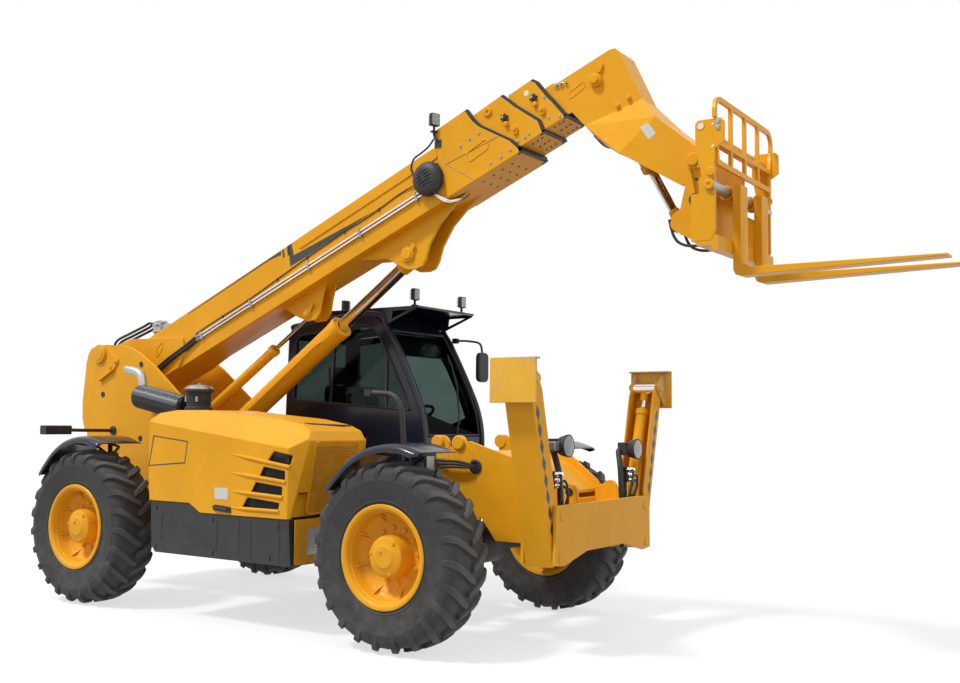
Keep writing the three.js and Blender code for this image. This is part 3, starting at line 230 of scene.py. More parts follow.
def finish(name, paint, worn_and_highlit=None, metallic=0.0, coat=0.0, specular=0.5, bump=0.1, depth=0.0004, sheen=0.0,
        **values):
    """A painted, rubbed or bare surface, with a painted highlight along its edges. The values are the
    weathering group's own, by name.
    """
    made = bpy.data.materials.new(name)
    made.use_nodes = True
    made.diffuse_color = (*paint, 1)
    tree = made.node_tree
    wear = node(tree, "Group", {"node_tree": WEATHERING}, Paint=(*paint, 1), Worn=(*(worn_and_highlit or paint), 1))
    for key, value in values.items():
        wear.inputs[key.replace("_", " ").capitalize()].default_value = value
    raised = node(tree, "Bump", None, Strength=bump, Distance=depth, Height=wear.outputs[2])
    shader = tree.nodes["Principled BSDF"]
    shader.inputs["Metallic"].default_value = metallic
    shader.inputs["Coat Weight"].default_value = coat
    shader.inputs["Specular IOR Level"].default_value = specular
    shader.inputs["Coat Roughness"].default_value = 0.12
    shader.inputs["Sheen Weight"].default_value = sheen
    tree.links.new(wear.outputs[0], shader.inputs["Base Color"])
    tree.links.new(wear.outputs[1], shader.inputs["Roughness"])
    tree.links.new(raised.outputs[0], shader.inputs["Normal"])
    return made


YELLOW = finish("yellow enamel", (0.80, 0.37, 0.012), (0.92, 0.58, 0.12), coat=0.04, specular=0.16, tone=0.07,
                edge_wear=0.55, dust_amount=0.12, gloss=0.34, grain=160.0, bump=0.12)
NAVY = finish("blue-black enamel", (0.006, 0.010, 0.026), (0.04, 0.05, 0.08), coat=0.4, specular=0.3,
    tone=0.12, edge_wear=0.6, dust_amount=0.05, gloss=0.24, grain=200.0)
SATIN = finish("satin black", (0.014, 0.014, 0.017), (0.06, 0.06, 0.065), tone=0.15,
               edge_wear=0.5, dust_amount=0.25, gloss=0.48, grain=350.0)
CHARCOAL = finish("charcoal moulding", (0.013, 0.014, 0.017), (0.07, 0.07, 0.08), tone=0.14,
                  edge_wear=0.5, dust_amount=0.10, gloss=0.46, grain=420.0, bump=0.3)
STEEL = finish("bare steel", (0.46, 0.46, 0.45), (0.7, 0.7, 0.7), metallic=0.9, tone=0.2,
               edge_wear=0.5, dust_amount=0.25, gloss=0.36, grain=600.0)
CHROME = finish("hard chrome", (0.80, 0.80, 0.81), metallic=1.0, tone=0.04,
                edge_wear=0.0, dust_amount=0.05, gloss=0.08, grain=900.0, bump=0.03)
ZINC = finish("zinc plate", (0.40, 0.39, 0.37), metallic=0.8, tone=0.15,
              edge_wear=0.2, dust_amount=0.15, gloss=0.28, grain=700.0)
HOSE = finish("hose rubber", (0.016, 0.016, 0.018), (0.05, 0.05, 0.05), tone=0.2,
              edge_wear=0.2, dust_amount=0.3, gloss=0.55, grain=900.0, bump=0.3)


def piece(name, shape, material, body, round_off=0.0, angle=32, segments=2):
    """Makes one object of (points, faces), in metres from the ground under the rear axle's middle."""
    points, faces = shape
    mesh = bpy.data.meshes.new(name)
    mesh.from_pydata((np.asarray(points, float) + np.array(REAR_AXLE)).tolist(), [], faces)
    melt = bmesh.new()
    melt.from_mesh(mesh)
    bmesh.ops.remove_doubles(melt, verts=melt.verts, dist=1e-6)
    bmesh.ops.recalc_face_normals(melt, faces=melt.faces)
    melt.to_mesh(mesh)
    melt.free()
    mesh.materials.append(material)
    mesh.shade_smooth()
    mesh.set_sharp_from_angle(angle=math.radians(angle))
    made = bpy.data.objects.new(name, mesh)
    bpy.context.scene.collection.objects.link(made)
    if round_off:
        bevel = made.modifiers.new("rounding", "BEVEL")
        bevel.width = round_off
        bevel.segments = segments
        bevel.limit_method = "ANGLE"
        bevel.angle_limit = math.radians(angle)
        bevel.harden_normals = True
    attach(made, body)
    return made


def welded(cad, material, round_off=0.003, angle=28):
    """A CAD solid with its triangles joined back to flat plates and its edges rounded like ground welds."""
    source = frame["nodes"][cad]
    mesh = source.data.copy()
    melt = bmesh.new()
    melt.from_mesh(mesh)
    bmesh.ops.remove_doubles(melt, verts=melt.verts, dist=2e-5)
    bmesh.ops.dissolve_limit(melt, angle_limit=math.radians(0.7), verts=melt.verts, edges=melt.edges)
    melt.to_mesh(mesh)
    melt.free()
    mesh.materials.clear()
    mesh.materials.append(material)
    mesh.shade_smooth()
    mesh.set_sharp_from_angle(angle=math.radians(angle))
    made = bpy.data.objects.new(cad + "_finished", mesh)
    bpy.context.scene.collection.objects.link(made)
    if round_off:
        bevel = made.modifiers.new("rounding", "BEVEL")
        bevel.width = round_off
        bevel.segments = 2
        bevel.limit_method = "ANGLE"
        bevel.angle_limit = math.radians(angle)
        bevel.use_clamp_overlap = False
        bevel.harden_normals = True
    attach(made, source["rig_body"])
    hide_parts(cad)
    return made


def joined(*shapes):
    """Several (points, faces) as one."""
    points, faces, start = [], [], 0
    for some, more in shapes:
        points.append(np.asarray(some, float))
        faces += [[start + i for i in face] for face in more]
        start += len(some)
    return np.concatenate(points), faces


def quads(rows, cols, turn_rows=False, turn_cols=False, start=0):
    """The faces of a grid of points, row by row; a direction that turns joins its last line to its first."""
    i = np.arange(rows if turn_rows else rows - 1)[:, None]
    j = np.arange(cols if turn_cols else cols - 1)[None, :]
    i1, j1 = (i + 1) % rows, (j + 1) % cols
    four = np.stack([i * cols + j, i * cols + j1, i1 * cols + j1, i1 * cols + j], -1)
    return (four.reshape(-1, 4) + start).tolist()


def across_of(axis):
    """Two directions at right angles to an axis."""
    axis = np.asarray(axis, float) / np.linalg.norm(axis)
    other = np.array([0, 0, 1.0]) if abs(axis[2]) < 0.9 else np.array([1.0, 0, 0])
    first = np.cross(other, axis)
    first /= np.linalg.norm(first)
    return axis, first, np.cross(axis, first)


def turned(profile, start, axis, sides=48, closed=False):
    """Turns a profile of (s along an axis, radius r) about it: P = start + s a + r (cos t e + sin t f)."""
    s, r = np.asarray(profile, float).T
    a, e, f = across_of(axis)
    t = np.linspace(0, 2 * np.pi, sides, endpoint=False)
    ring = np.cos(t)[None, :, None] * e + np.sin(t)[None, :, None] * f
    points = np.asarray(start, float) + s[:, None, None] * a + r[:, None, None] * ring
    faces = quads(len(s), sides, turn_rows=closed, turn_cols=True)
    if not closed:
        faces += [list(range(sides)), list(range((len(s) - 1) * sides, len(s) * sides))]
    return points.reshape(-1, 3), faces


def flowing(points, per=6):
    """A smooth line through points: on each span the cubic whose slope at a point joins its neighbours."""
    p = np.asarray(points, float)
    ends = np.concatenate([[2 * p[0] - p[1]], p, [2 * p[-1] - p[-2]]])
    t = (np.arange(per) / per)[None, :, None]
    a, b, c, d = (ends[i:len(ends) - 3 + i][:, None, :] for i in range(4))
    line = 0.5 * (2 * b + (c - a) * t + (2 * a - 5 * b + 4 * c - d) * t**2 + (3 * b - a - 3 * c + d) * t**3)
    return np.concatenate([line.reshape(-1, p.shape[1]), p[-1:]])


def tube(path, radius, sides=10):
    """Carries a circle along a path; each ring lies in the plane that halves the bend, with no twist."""
    p = np.asarray(path, float)
    along = np.gradient(p, axis=0)
    along /= np.linalg.norm(along, axis=1)[:, None]
    _, e, _ = across_of(along[0])
    across = []
    for a in along:
        e = e - a * (e @ a)
        e /= np.linalg.norm(e)
        across.append(e)
    e = np.array(across)
    f = np.cross(along, e)
    t = np.linspace(0, 2 * np.pi, sides, endpoint=False)
    r = np.broadcast_to(radius, len(p))[:, None, None]
    points = p[:, None] + r * (np.cos(t)[None, :, None] * e[:, None] + np.sin(t)[None, :, None] * f[:, None])
    faces = quads(len(p), sides, turn_cols=True)
    faces += [list(range(sides)), list(range((len(p) - 1) * sides, len(p) * sides))]
    return points.reshape(-1, 3), faces


def bent(points, radius, per=5):
    """A line with each inner corner rounded to about the radius, by a quadratic curve between its sides."""
    p = [np.asarray(q, float) for q in points]
    line = [p[0]]
    for a, b, c in zip(p, p[1:], p[2:]):
        back, on = a - b, c - b
        cut = min(radius, np.linalg.norm(back) * 0.49, np.linalg.norm(on) * 0.49)
        s, e = b + back / np.linalg.norm(back) * cut, b + on / np.linalg.norm(on) * cut
        line += [(1 - t) ** 2 * s + 2 * t * (1 - t) * b + t * t * e for t in np.linspace(0, 1, per)]
    return np.array(line + [p[-1]])


def plate(outline, low, high, normal="y"):
    """A flat outline given thickness along x, y or z; its own two axes are the other two, in order."""
    flat = np.asarray(outline, float)
    n = len(flat)
    column = "xyz".index(normal)
    points = np.concatenate([np.insert(flat, column, level, axis=1) for level in (low, high)])
    sides = [[i, (i + 1) % n, (i + 1) % n + n, i + n] for i in range(n)]
    return points, sides + [list(range(n)), list(range(2 * n - 1, n - 1, -1))]


def block(low, high):
    """A box between two corners."""
    (x0, y0, z0), (x1, y1, z1) = low, high
    return plate([(x0, y0), (x1, y0), (x1, y1), (x0, y1)], z0, z1, "z")


def round_outline(outline, radius, per=4):
    """A closed outline with rounded corners."""
    p = np.asarray(outline, float)
    line = []
    for a, b, c in zip(np.roll(p, 1, 0), p, np.roll(p, -1, 0)):
        back, on = a - b, c - b
        cut = min(radius, np.linalg.norm(back) * 0.45, np.linalg.norm(on) * 0.45)
        s, e = b + back / np.linalg.norm(back) * cut, b + on / np.linalg.norm(on) * cut
        line += [(1 - t) ** 2 * s + 2 * t * (1 - t) * b + t * t * e for t in np.linspace(0, 1, per)]
    return np.array(line)


def studs(places, axis, radius=0.012, high=0.010, sides=6, washer=1.35):
    """The same bolt head on its washer at many places: one small turned shape added to each place at once."""
    out = [(-0.004, 0), (-0.004, radius * washer), (high * 0.25, radius * washer), (high * 0.3, radius),
           (high * 0.85, radius), (high, radius * 0.82), (high, 0)]
    shape, faces = turned(out, (0, 0, 0), axis, sides)
    faces = [f for f in faces if len(f) == 4]
    places = np.asarray(places, float).reshape(-1, 3)
    points = (places[:, None] + shape[None]).reshape(-1, 3)
    all_faces = (np.asarray(faces)[None] + (np.arange(len(places)) * len(shape))[:, None, None]).reshape(-1,
        4)
    return points, all_faces.tolist()


SIDES = {"left": 1, "right": -1}
ENDS = {"front": 3.292, "rear": 0.0}
HUB_Z = 0.638

# ---------------------------------------------------------------- tyres
# Four cross-ply loader tyres: a moulded carcass with bars of tread that lean back from the middle
# over the shoulder and run out on the sidewall. Each sits on its rim's two beads.
rubber = bpy.data.materials.new("tyre rubber")
rubber.use_nodes = True
rubber_tree = rubber.node_tree
rubber_wear = node(rubber_tree, "Group", {"node_tree": WEATHERING}, Worn=(0.12, 0.12, 0.115, 1),
                   Dust=(0.20, 0.19, 0.17, 1), Tone=0.22, Gloss=0.62, Grain=500.0)
rubber_wear.inputs["Edge wear"].default_value = 0.7
rubber_wear.inputs["Dust amount"].default_value = 0.55
crown = node(rubber_tree, "Attribute", {"attribute_name": "scuffed"}).outputs["Fac"]
scuffed = node(rubber_tree, "Mix", {"data_type": "RGBA"}, i0=crown, i6=(0.017, 0.018, 0.021, 1),
    i7=(0.075, 0.077, 0.078, 1))
rubber_tree.links.new(scuffed.outputs[2], rubber_wear.inputs["Paint"])
rubber_bump = node(rubber_tree, "Bump", None, Strength=0.35, Distance=0.0008, Height=rubber_wear.outputs[2])
rubber_shader = rubber_tree.nodes["Principled BSDF"]
rubber_tree.links.new(rubber_wear.outputs[0], rubber_shader.inputs["Base Color"])
rubber_tree.links.new(rubber_wear.outputs[1], rubber_shader.inputs["Roughness"])
rubber_tree.links.new(rubber_bump.outputs[0], rubber_shader.inputs["Normal"])

WHEEL_MID = 1.0485
LUGS = 23


def tyre(x, side):
    """The carcass is its half profile mirrored and turned about the axle; the lugs are a four-cornered
    section carried along the tread's curve, each turned to its own place round the wheel."""
    half = [(0.3185, 0.0), (0.3185, 0.150), (0.324, 0.160), (0.345, 0.1705), (0.352, 0.1745),
        (0.360, 0.177), (0.366, 0.184), (0.372, 0.1845), (0.378, 0.181), (0.42, 0.189), (0.47, 0.1955),
        (0.500, 0.197), (0.505, 0.1985), (0.515, 0.1985), (0.520, 0.196), (0.545, 0.193), (0.568, 0.184),
        (0.588, 0.165), (0.599, 0.135), (0.6045, 0.08), (0.606, 0.0)]
    whole = half + [(r, -y) for r, y in half[-2:0:-1]]
    carcass = turned([(y, r) for r, y in whole], (x, side * WHEEL_MID, HUB_Z), (0, 1, 0), 96, closed=True)
    top = np.array([(-0.014, 0.638), (0.05, 0.6378), (0.105, 0.6345), (0.148, 0.624), (0.176, 0.608),
                    (0.1935, 0.588), (0.200, 0.563), (0.2008, 0.535), (0.199, 0.512)])
    base = np.array([(-0.014, 0.600), (0.05, 0.600), (0.100, 0.598), (0.135, 0.590), (0.158, 0.578),
                     (0.173, 0.563), (0.183, 0.547), (0.190, 0.530), (0.193, 0.510)])
    lean = np.array([0.0, 0.055, 0.115, 0.165, 0.192, 0.205, 0.212, 0.215, 0.216])
    wide = np.array([0.030, 0.040, 0.043, 0.044, 0.044, 0.043, 0.040, 0.037, 0.034])
    rings = np.stack([base, top, top, base], 1)
    spread = np.array([-1.25, -0.9, 0.9, 1.25])[None, :] * wide[:, None] - lean[:, None]
    shapes = [carcass]
    for hand in (1, -1):
        turn = (np.arange(LUGS) + (0.5 if hand < 0 else 0)) * 2 * np.pi / LUGS
        angle = turn[:, None, None] + spread[None]
        r = np.broadcast_to(rings[None, :, :, 1], angle.shape)
        y = np.broadcast_to(rings[None, :, :, 0] * hand, angle.shape)
        points = np.stack([x + r * np.sin(angle), side * WHEEL_MID + y, HUB_Z + r * np.cos(angle)],
            -1).reshape(-1, 3)
        one = quads(9, 4, turn_cols=True) + [[0, 1, 2, 3], [32, 33, 34, 35]]
        faces = (np.asarray(one)[None] + (np.arange(LUGS) * 36)[:, None, None]).reshape(-1, 4).tolist()
        shapes.append((points, faces))
    return joined(*shapes)


for end, x in ENDS.items():
    for name, side in SIDES.items():
        made = piece(f"tyre_{end}_{name}_tread", tyre(x, side), rubber, f"wheel_{end}_{name}",
            0.005, 30)
        spots = np.array([v.co for v in made.data.vertices]) - np.array(REAR_AXLE)
        radius = np.hypot(spots[:, 0] - x, spots[:, 2] - HUB_Z)
        scuff = made.data.attributes.new("scuffed", "FLOAT", "POINT")
        scuff.data.foreach_set("value", np.clip((radius - 0.585) / 0.05, 0, 1).astype(np.float32))
        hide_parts(f"tyre_{end}_{name}")

# ---------------------------------------------------------------- rims and hubs
# Pressed and welded rims: rolled flanges, a deep well, a dished disc with a ring of nuts, gusset
# plates in the corner, and the planetary hub's cover with its drain plugs.


def rim(x, side):
    """The rim's closed profile turned about the axle, with its nuts, gussets and plugs set round it."""
    y = side * WHEEL_MID
    profile = [(-0.0085, 0), (-0.0085, 0.300), (-0.03, 0.3055), (-0.165, 0.3055), (-0.181, 0.312),
        (-0.188, 0.330), (-0.187, 0.345), (-0.181, 0.351), (-0.175, 0.349), (-0.171, 0.335),
        (-0.161, 0.3175), (-0.12, 0.312), (0.12, 0.312), (0.161, 0.3175), (0.171, 0.335), (0.175, 0.349),
        (0.181, 0.351), (0.187, 0.345), (0.188, 0.330), (0.181, 0.314), (0.168, 0.3045), (0.150, 0.3015),
        (0.146, 0.296), (0.132, 0.293), (0.080, 0.290), (0.060, 0.276), (0.050, 0.255), (0.046, 0.247),
        (0.030, 0.232), (0.020, 0.205), (0.018, 0.165), (0.020, 0.1505), (0.030, 0.146), (0.060, 0.143),
        (0.128, 0.139), (0.141, 0.134), (0.146, 0.126), (0.152, 0.108), (0.160, 0.075), (0.1635, 0.070),
        (0.1635, 0.0)]
    shapes = [turned(profile, (x, y, HUB_Z), (0, side, 0), 96)]
    t = np.arange(12) * np.pi / 6 + 0.12

    def ring(r, a, out):
        return np.column_stack([x + r * np.cos(a), np.full(len(a), y + side * out), HUB_Z + r * np.sin(a)])

    shapes.append(studs(ring(0.187, t, 0.018), (0, side, 0), 0.016, 0.022))
    shapes.append(studs(ring(0.118, np.arange(3) * 2.094 + 0.9, 0.149), (0, side, 0), 0.011, 0.010))
    shapes.append(studs(ring(0.045, np.array([2.2]), 0.1635), (0, side, 0), 0.012, 0.008))
    for a in np.arange(8) * np.pi / 4 + 0.3:
        corner = np.array([(0.228, 0.032), (0.286, 0.075), (0.292, 0.110), (0.255, 0.052)])
        c, s = math.cos(a), math.sin(a)
        thick = 0.007
        points = [(x + r * c - w * s, y + side * o, HUB_Z + r * s + w * c) for w in (-thick, thick) for r,
            o in corner]
        shapes.append((np.array(points), [[0, 1, 2, 3], [7, 6, 5, 4]] + [[i, (i + 1) % 4, (i + 1) % 4 + 4,
            i + 4] for i in range(4)]))
    return joined(*shapes)


for end, x in ENDS.items():
    for name, side in SIDES.items():
        made = piece(f"rim_{end}_{name}_pressing", rim(x, side), YELLOW, f"wheel_{end}_{name}")
        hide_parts(f"rim_{end}_{name}")

# ---------------------------------------------------------------- axles and steering knuckles
# Cast beam axles with a differential in the middle, and swivelling hubs on kingpins. The tie rod
# lies behind the beam, and the propeller shaft runs back from the flange.
for end, x in ENDS.items():
    welded(f"{end}_axle", SATIN, 0.006)
    facing = -1 if end == "front" else 1
    rings = [(-0.172, 0.06), (-0.172, 0.118), (-0.15, 0.128), (-0.095, 0.155), (0.095, 0.155),
        (0.15, 0.128), (0.172, 0.118), (0.172, 0.06)]
    case = turned(rings, (x, 0, HUB_Z), (0, 1, 0), 40)
    nuts = [(x + 0.137 * math.cos(a), 0.128, HUB_Z + 0.137 * math.sin(a)) for a in np.arange(12) * math.pi
        / 6]
    piece(f"{end}_axle_case", joined(case, studs(nuts, (0, 1, 0), 0.009, 0.012)), SATIN, "chassis")
    shaft = turned([(0.17, 0.0), (0.17, 0.075), (0.255, 0.075), (0.255, 0.095), (0.275, 0.095),
        (0.275, 0.0)], (x, 0, HUB_Z), (facing, 0, 0), 32)
    piece(f"{end}_axle_flange", shaft, STEEL, "chassis", 0.002)
    for name, side in SIDES.items():
        body = f"steering_knuckle_{end}_{name}"
        welded(f"knuckle_{end}_{name}", SATIN, 0.006)
        cap = [(0.0, 0.0), (0.0, 0.05), (0.012, 0.05), (0.018, 0.042), (0.018, 0.0)]
        for up in (1, -1):
            face = HUB_Z + up * 0.1824
            boss = turned(cap, (x, side * 0.8, face), (0, 0, up), 28)
            nuts = [(x + 0.036 * math.cos(a), side * 0.8 + 0.036 * math.sin(a), face + up * 0.016)
                for a in np.arange(4) * math.pi / 2 + 0.785]
            piece(f"kingpin_cap_{end}_{name}_{'top' if up > 0 else 'foot'}",
                joined(boss, studs(nuts, (0, 0, up), 0.007, 0.007)), SATIN, "chassis")

# ---------------------------------------------------------------- mudguards
# Pressed steel guards in gloss blue-black, with a rolled outer lip and a rounded tail. Each stands
# on a post and two stays from the steering knuckle, so it turns with the wheel.
GUARD_LINE = [(-0.536, 0.412), (-0.500, 0.470), (-0.455, 0.520), (-0.340, 0.628), (-0.190, 0.712),
    (-0.020, 0.752), (0.130, 0.750), (0.240, 0.722), (0.300, 0.698)]


def mudguard(x, side):
    """A line over the wheel swept across the tread: P(s, t) = line(s) + across(t) y - drop(t) n(s)."""
    line = flowing(GUARD_LINE, 6)
    along = np.gradient(line, axis=0)
    normal = np.stack([-along[:, 1], along[:, 0]], 1) / np.linalg.norm(along, axis=1)[:, None]
    across = np.array([0.812, 0.83, 0.95, 1.10, 1.185, 1.215, 1.236, 1.247, 1.2505, 1.2505, 1.247, 1.243])
    drop = np.array([0.012, 0.002, 0.0, 0.0, 0.002, 0.006, 0.016, 0.030, 0.045, 0.058, 0.061, 0.058])
    fade = np.clip(np.minimum(np.arange(len(line)), np.arange(len(line))[::-1]) / 5, 0, 1)[:, None]
    narrow = 0.05 * (1 - np.sqrt(1 - (1 - fade) ** 2))
    out = 0.812 + (across[None] - 0.812) * (1 - narrow * 1.2)
    deep = drop[None] * (0.45 + 0.55 * fade)
    flat = line[:, None, :] - deep[..., None] * normal[:, None, :]
    points = np.stack([x + flat[..., 0], side * out, HUB_Z + flat[..., 1]], -1).reshape(-1, 3)
    return points, quads(len(line), len(across))


for end, x in ENDS.items():
    for name, side in SIDES.items():
        body = f"steering_knuckle_{end}_{name}"
        guard = piece(f"mudguard_{end}_{name}_pressing", mudguard(x, side), NAVY, body,
            angle=60)
        if guard.data.polygons[len(guard.data.polygons) // 2].normal.z < 0:
            guard.data.flip_normals()
        wall = guard.modifiers.new("sheet", "SOLIDIFY")
        wall.thickness = 0.006
        wall.offset = -1
        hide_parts(f"mudguard_{end}_{name}")
        post = plate([(x - 0.13, 0.7284), (x - 0.092, 0.7284), (x - 0.092, 1.374), (x - 0.13, 1.370)],
            side * 0.806, side * 0.828)
        stay = [tube(bent([(x - 0.11, side * 0.828, 1.22), (x - 0.18, side * 0.90, 1.30),
            (x - 0.20, side * 1.2, 1.339)], 0.03), 0.011), tube(bent([(x - 0.11, side * 0.828, 1.20),
            (x + 0.10, side * 0.88, 1.30), (x + 0.14, side * 1.2, 1.376)], 0.03), 0.011)]
        bolts = studs([(x - 0.111, side * 0.828, z) for z in (1.16, 1.27, 1.34)], (0, side, 0), 0.009, 0.008)
        piece(f"mudguard_{end}_{name}_stays", joined(post, *stay, bolts), SATIN, body, 0.002)

# ---------------------------------------------------------------- main frame and hinge tower
# Two tall profiled plates tied by cross plates, welded and sprayed as one. The boom's hinge pin
# stands in a boss on each plate and is held by a keeper plate on two bolts.
FRAME_OUT = 0.430
welded("main_frame", YELLOW, 0.004)
for name, side in SIDES.items():
    out = side * FRAME_OUT
    pivot = (-0.8, out, 2.15)
    boss = turned([(0.0, 0.0), (0.0, 0.088), (0.034, 0.088), (0.040, 0.082), (0.040, 0.060), (0.046, 0.058),
        (0.046, 0.0)], pivot, (0, side, 0), 40)
    keeper = plate(round_outline([(-0.870, 2.185), (-0.770, 2.245), (-0.527, 2.085), (-0.600, 1.995),
        (-0.735, 1.925), (-0.890, 2.100)], 0.04), out, out + side * 0.014)
    fold = plate([(-0.600, 1.990), (-0.592, 2.000), (-0.790, 1.902), (-0.798, 1.890)], out,
        out + side * 0.030)
    bolts = studs([(-0.575, out + side * 0.014, 2.070), (-0.640, out + side * 0.014, 2.020)], (0, side, 0),
        0.014, 0.013)
    piece(f"hinge_keeper_{name}", joined(boss, keeper, fold, bolts), YELLOW, "chassis", 0.003)
    grommets = []
    for x, z in ((-0.219, 2.039), (-0.758, 1.767), (-0.199, 1.363)):
        grommets.append(turned([(-0.002, 0.0), (-0.002, 0.026), (0.004, 0.026), (0.006, 0.022),
            (0.003, 0.018), (0.001, 0.0)], (x, out, z), (0, side, 0), 24))
    piece(f"frame_plugs_{name}", joined(*grommets), HOSE, "chassis")
    pins = []
    for x, z in ((-0.35, 0.82), (-0.484, 1.155)):
        pins.append(turned([(-0.002, 0.0), (-0.002, 0.052), (0.010, 0.052), (0.014, 0.046), (0.014, 0.0)],
            (x, out, z), (0, side, 0), 28))
        pins.append(plate(round_outline([(x - 0.02, z + 0.03), (x + 0.11, z + 0.03), (x + 0.11, z - 0.03),
            (x - 0.02, z - 0.03)], 0.012), out + side * 0.010, out + side * 0.018))
        pins.append(studs([(x + 0.085, out + side * 0.018, z)], (0, side, 0), 0.010, 0.009))
    piece(f"cylinder_pins_{name}", joined(*pins), YELLOW, "chassis", 0.0015)

# rear lamps: a black tube arm from each rear plate, a rubber-edged lamp with a red and an amber lens
RED = finish("red lens", (0.45, 0.012, 0.010), tone=0.04, edge_wear=0.0, dust_amount=0.15, gloss=0.12,
    coat=0.8)
AMBER = finish("amber lens", (0.75, 0.22, 0.01), tone=0.04, edge_wear=0.0, dust_amount=0.15, gloss=0.12,
    coat=0.8)
for name, side in SIDES.items():
    root = (-0.585, side * FRAME_OUT, 1.43)
    arm = tube(bent([(-0.585, side * FRAME_OUT, 1.43), (-0.585, side * 0.78, 1.432),
        (-0.585, side * 1.02, 1.436)], 0.03), 0.016)
    foot = turned([(0.0, 0.0), (0.0, 0.042), (0.016, 0.042), (0.022, 0.03), (0.022, 0.0)], root,
        (0, side, 0), 24)
    shell = plate(round_outline([(-0.635, 1.395), (-0.545, 1.395), (-0.545, 1.475), (-0.635, 1.475)],
        0.015), side * 0.90, side * 1.16)
    piece(f"rear_lamp_{name}", joined(arm, foot, shell), SATIN, "chassis", 0.005)
    red = plate(round_outline([(side * 0.915, 1.405), (side * 1.04, 1.405), (side * 1.04, 1.465),
        (side * 0.915, 1.465)], 0.01), -0.645, -0.633, "x")
    amber = plate(round_outline([(side * 1.05, 1.405), (side * 1.145, 1.405), (side * 1.145, 1.465),
        (side * 1.05, 1.465)], 0.01), -0.645, -0.633, "x")
    piece(f"rear_lamp_red_{name}", red, RED, "chassis", 0.003)
    piece(f"rear_lamp_amber_{name}", amber, AMBER, "chassis", 0.003)

# ---------------------------------------------------------------- engine hood
# One pressed and welded cover with a sloping shoulder. Four air slots with pressed fins run into
# the front of its side over a dark mesh, a framed mesh stands in its front, a catch sits low.
welded("engine_hood", YELLOW, 0.009)
HOOD_Y = -1.2
SLOT_EDGES = [((2.404, 1.220), (2.195, 1.248)), ((2.366, 1.112), (2.115, 1.134)),
              ((2.340, 1.001), (2.031, 1.015)), ((2.306, 0.900), (1.942, 0.897))]
fins = []
for front, lower in SLOT_EDGES:
    slope = (front[1] - lower[1]) / (front[0] - lower[0])
    if slope > -0.01:
        slope = -0.03
    start = np.array([1.80, lower[1] + slope * (1.80 - lower[0])])
    end = np.array([front[0] + 0.012, front[1] + slope * 0.012])
    t = np.linspace(0, 1, 18)[:, None]
    mid = start + (end - start) * t
    high = (0.014 * np.minimum(1, t * 3.5) ** 0.7)[:, 0]
    proud = (0.012 * np.minimum(1, t * 3.0))[:, 0]
    a = np.linspace(0, np.pi, 7)
    points = np.stack([np.broadcast_to(mid[:, 0:1], (18, 7)),
                       HOOD_Y + 0.004 - (0.004 + proud[:, None]) * np.sin(a)[None] ** 0.7,
                       mid[:, 1:2] - 0.014 + high[:, None] * np.cos(a)[None]], -1)
    fins.append((points.reshape(-1, 3), quads(18, 7, turn_cols=True) + [list(range(7)),
        list(range(119, 126))]))
piece("hood_fins", joined(*fins), YELLOW, "hood")

MESH_X = np.arange(1.92, 2.392, 0.011)
MESH_Z = np.arange(0.885, 1.325, 0.011)
wires = [block((x - 0.0015, HOOD_Y + 0.021, 0.88), (x + 0.0015, HOOD_Y + 0.024, 1.325)) for x in MESH_X]
wires += [block((1.915, HOOD_Y + 0.024, z - 0.0015), (2.392, HOOD_Y + 0.027, z + 0.0015)) for z in MESH_Z]
piece("hood_slot_mesh", joined(*wires), SATIN, "hood")


def front_x(z):
    """Where the hood's leaning front face stands at a height."""
    return 2.410 + (z - 0.832) * 0.1607


def four_sided(corners):
    """A bar closed from the four corners of its one end and the four of the other."""
    sides = [[i, (i + 1) % 4, (i + 1) % 4 + 4, i + 4] for i in range(4)]
    return np.array(corners), [[0, 1, 2, 3], [7, 6, 5, 4]] + sides


frame_line = [(-1.015, 0.872), (-0.545, 0.872), (-0.545, 1.372), (-1.015, 1.372)]
grown = np.array(frame_line) + [(-0.018, -0.018), (0.018, -0.018), (0.018, 0.018), (-0.018, 0.018)]
ring_out = round_outline(grown, 0.05, 6)
ring_in = round_outline(frame_line, 0.04, 6)
n = len(ring_out)
layers = []
for line, off in ((ring_out, 0.0), (ring_out, 0.007), (ring_in, 0.007), (ring_in, -0.004)):
    layers.append(np.column_stack([front_x(line[:, 1]) + off, line]))
piece("hood_grille_frame", (np.concatenate(layers), quads(4, n, turn_rows=True, turn_cols=True)), YELLOW,
    "hood", angle=50)
wires = []
WIRE = [(0, 0), (0.003, 0), (0.003, 0.004), (0, 0.004)]
for y in np.arange(-1.005, -0.545, 0.012):
    section = [(front_x(z) - 0.004 + dx, y + dy, z) for z in (0.868, 1.376) for dx, dy in WIRE]
    wires.append(four_sided(section))
for z in np.arange(0.880, 1.372, 0.012):
    wires.append(block((front_x(z) - 0.007, -1.012, z), (front_x(z) - 0.004, -0.548, z + 0.004)))
piece("hood_grille_mesh", joined(*wires), YELLOW, "hood")


def top_z(x, y):
    """The height of the hood's top: the lower of its long slope and its chamfered corner."""
    return np.minimum(1.5505 - (x - 2.08) * 0.1654, 1.302 + (2.7 - x) * 0.119 + (y + 1.2) * 0.75)


vent = np.array([(2.206, -1.008), (2.33, -0.89), (2.372, -0.60), (2.36, -0.467), (2.318, -0.72),
    (2.27, -0.88)])
vent_top = np.column_stack([vent, top_z(vent[:, 0], vent[:, 1]) + 0.004])
vent_low = vent_top - (0, 0, 0.012)
piece("hood_top_vent", (np.concatenate([vent_top, vent_low]), [list(range(6)), list(range(11, 5, -1))]
    + [[i, (i + 1) % 6, (i + 1) % 6 + 6, i + 6] for i in range(6)]), SATIN, "hood")

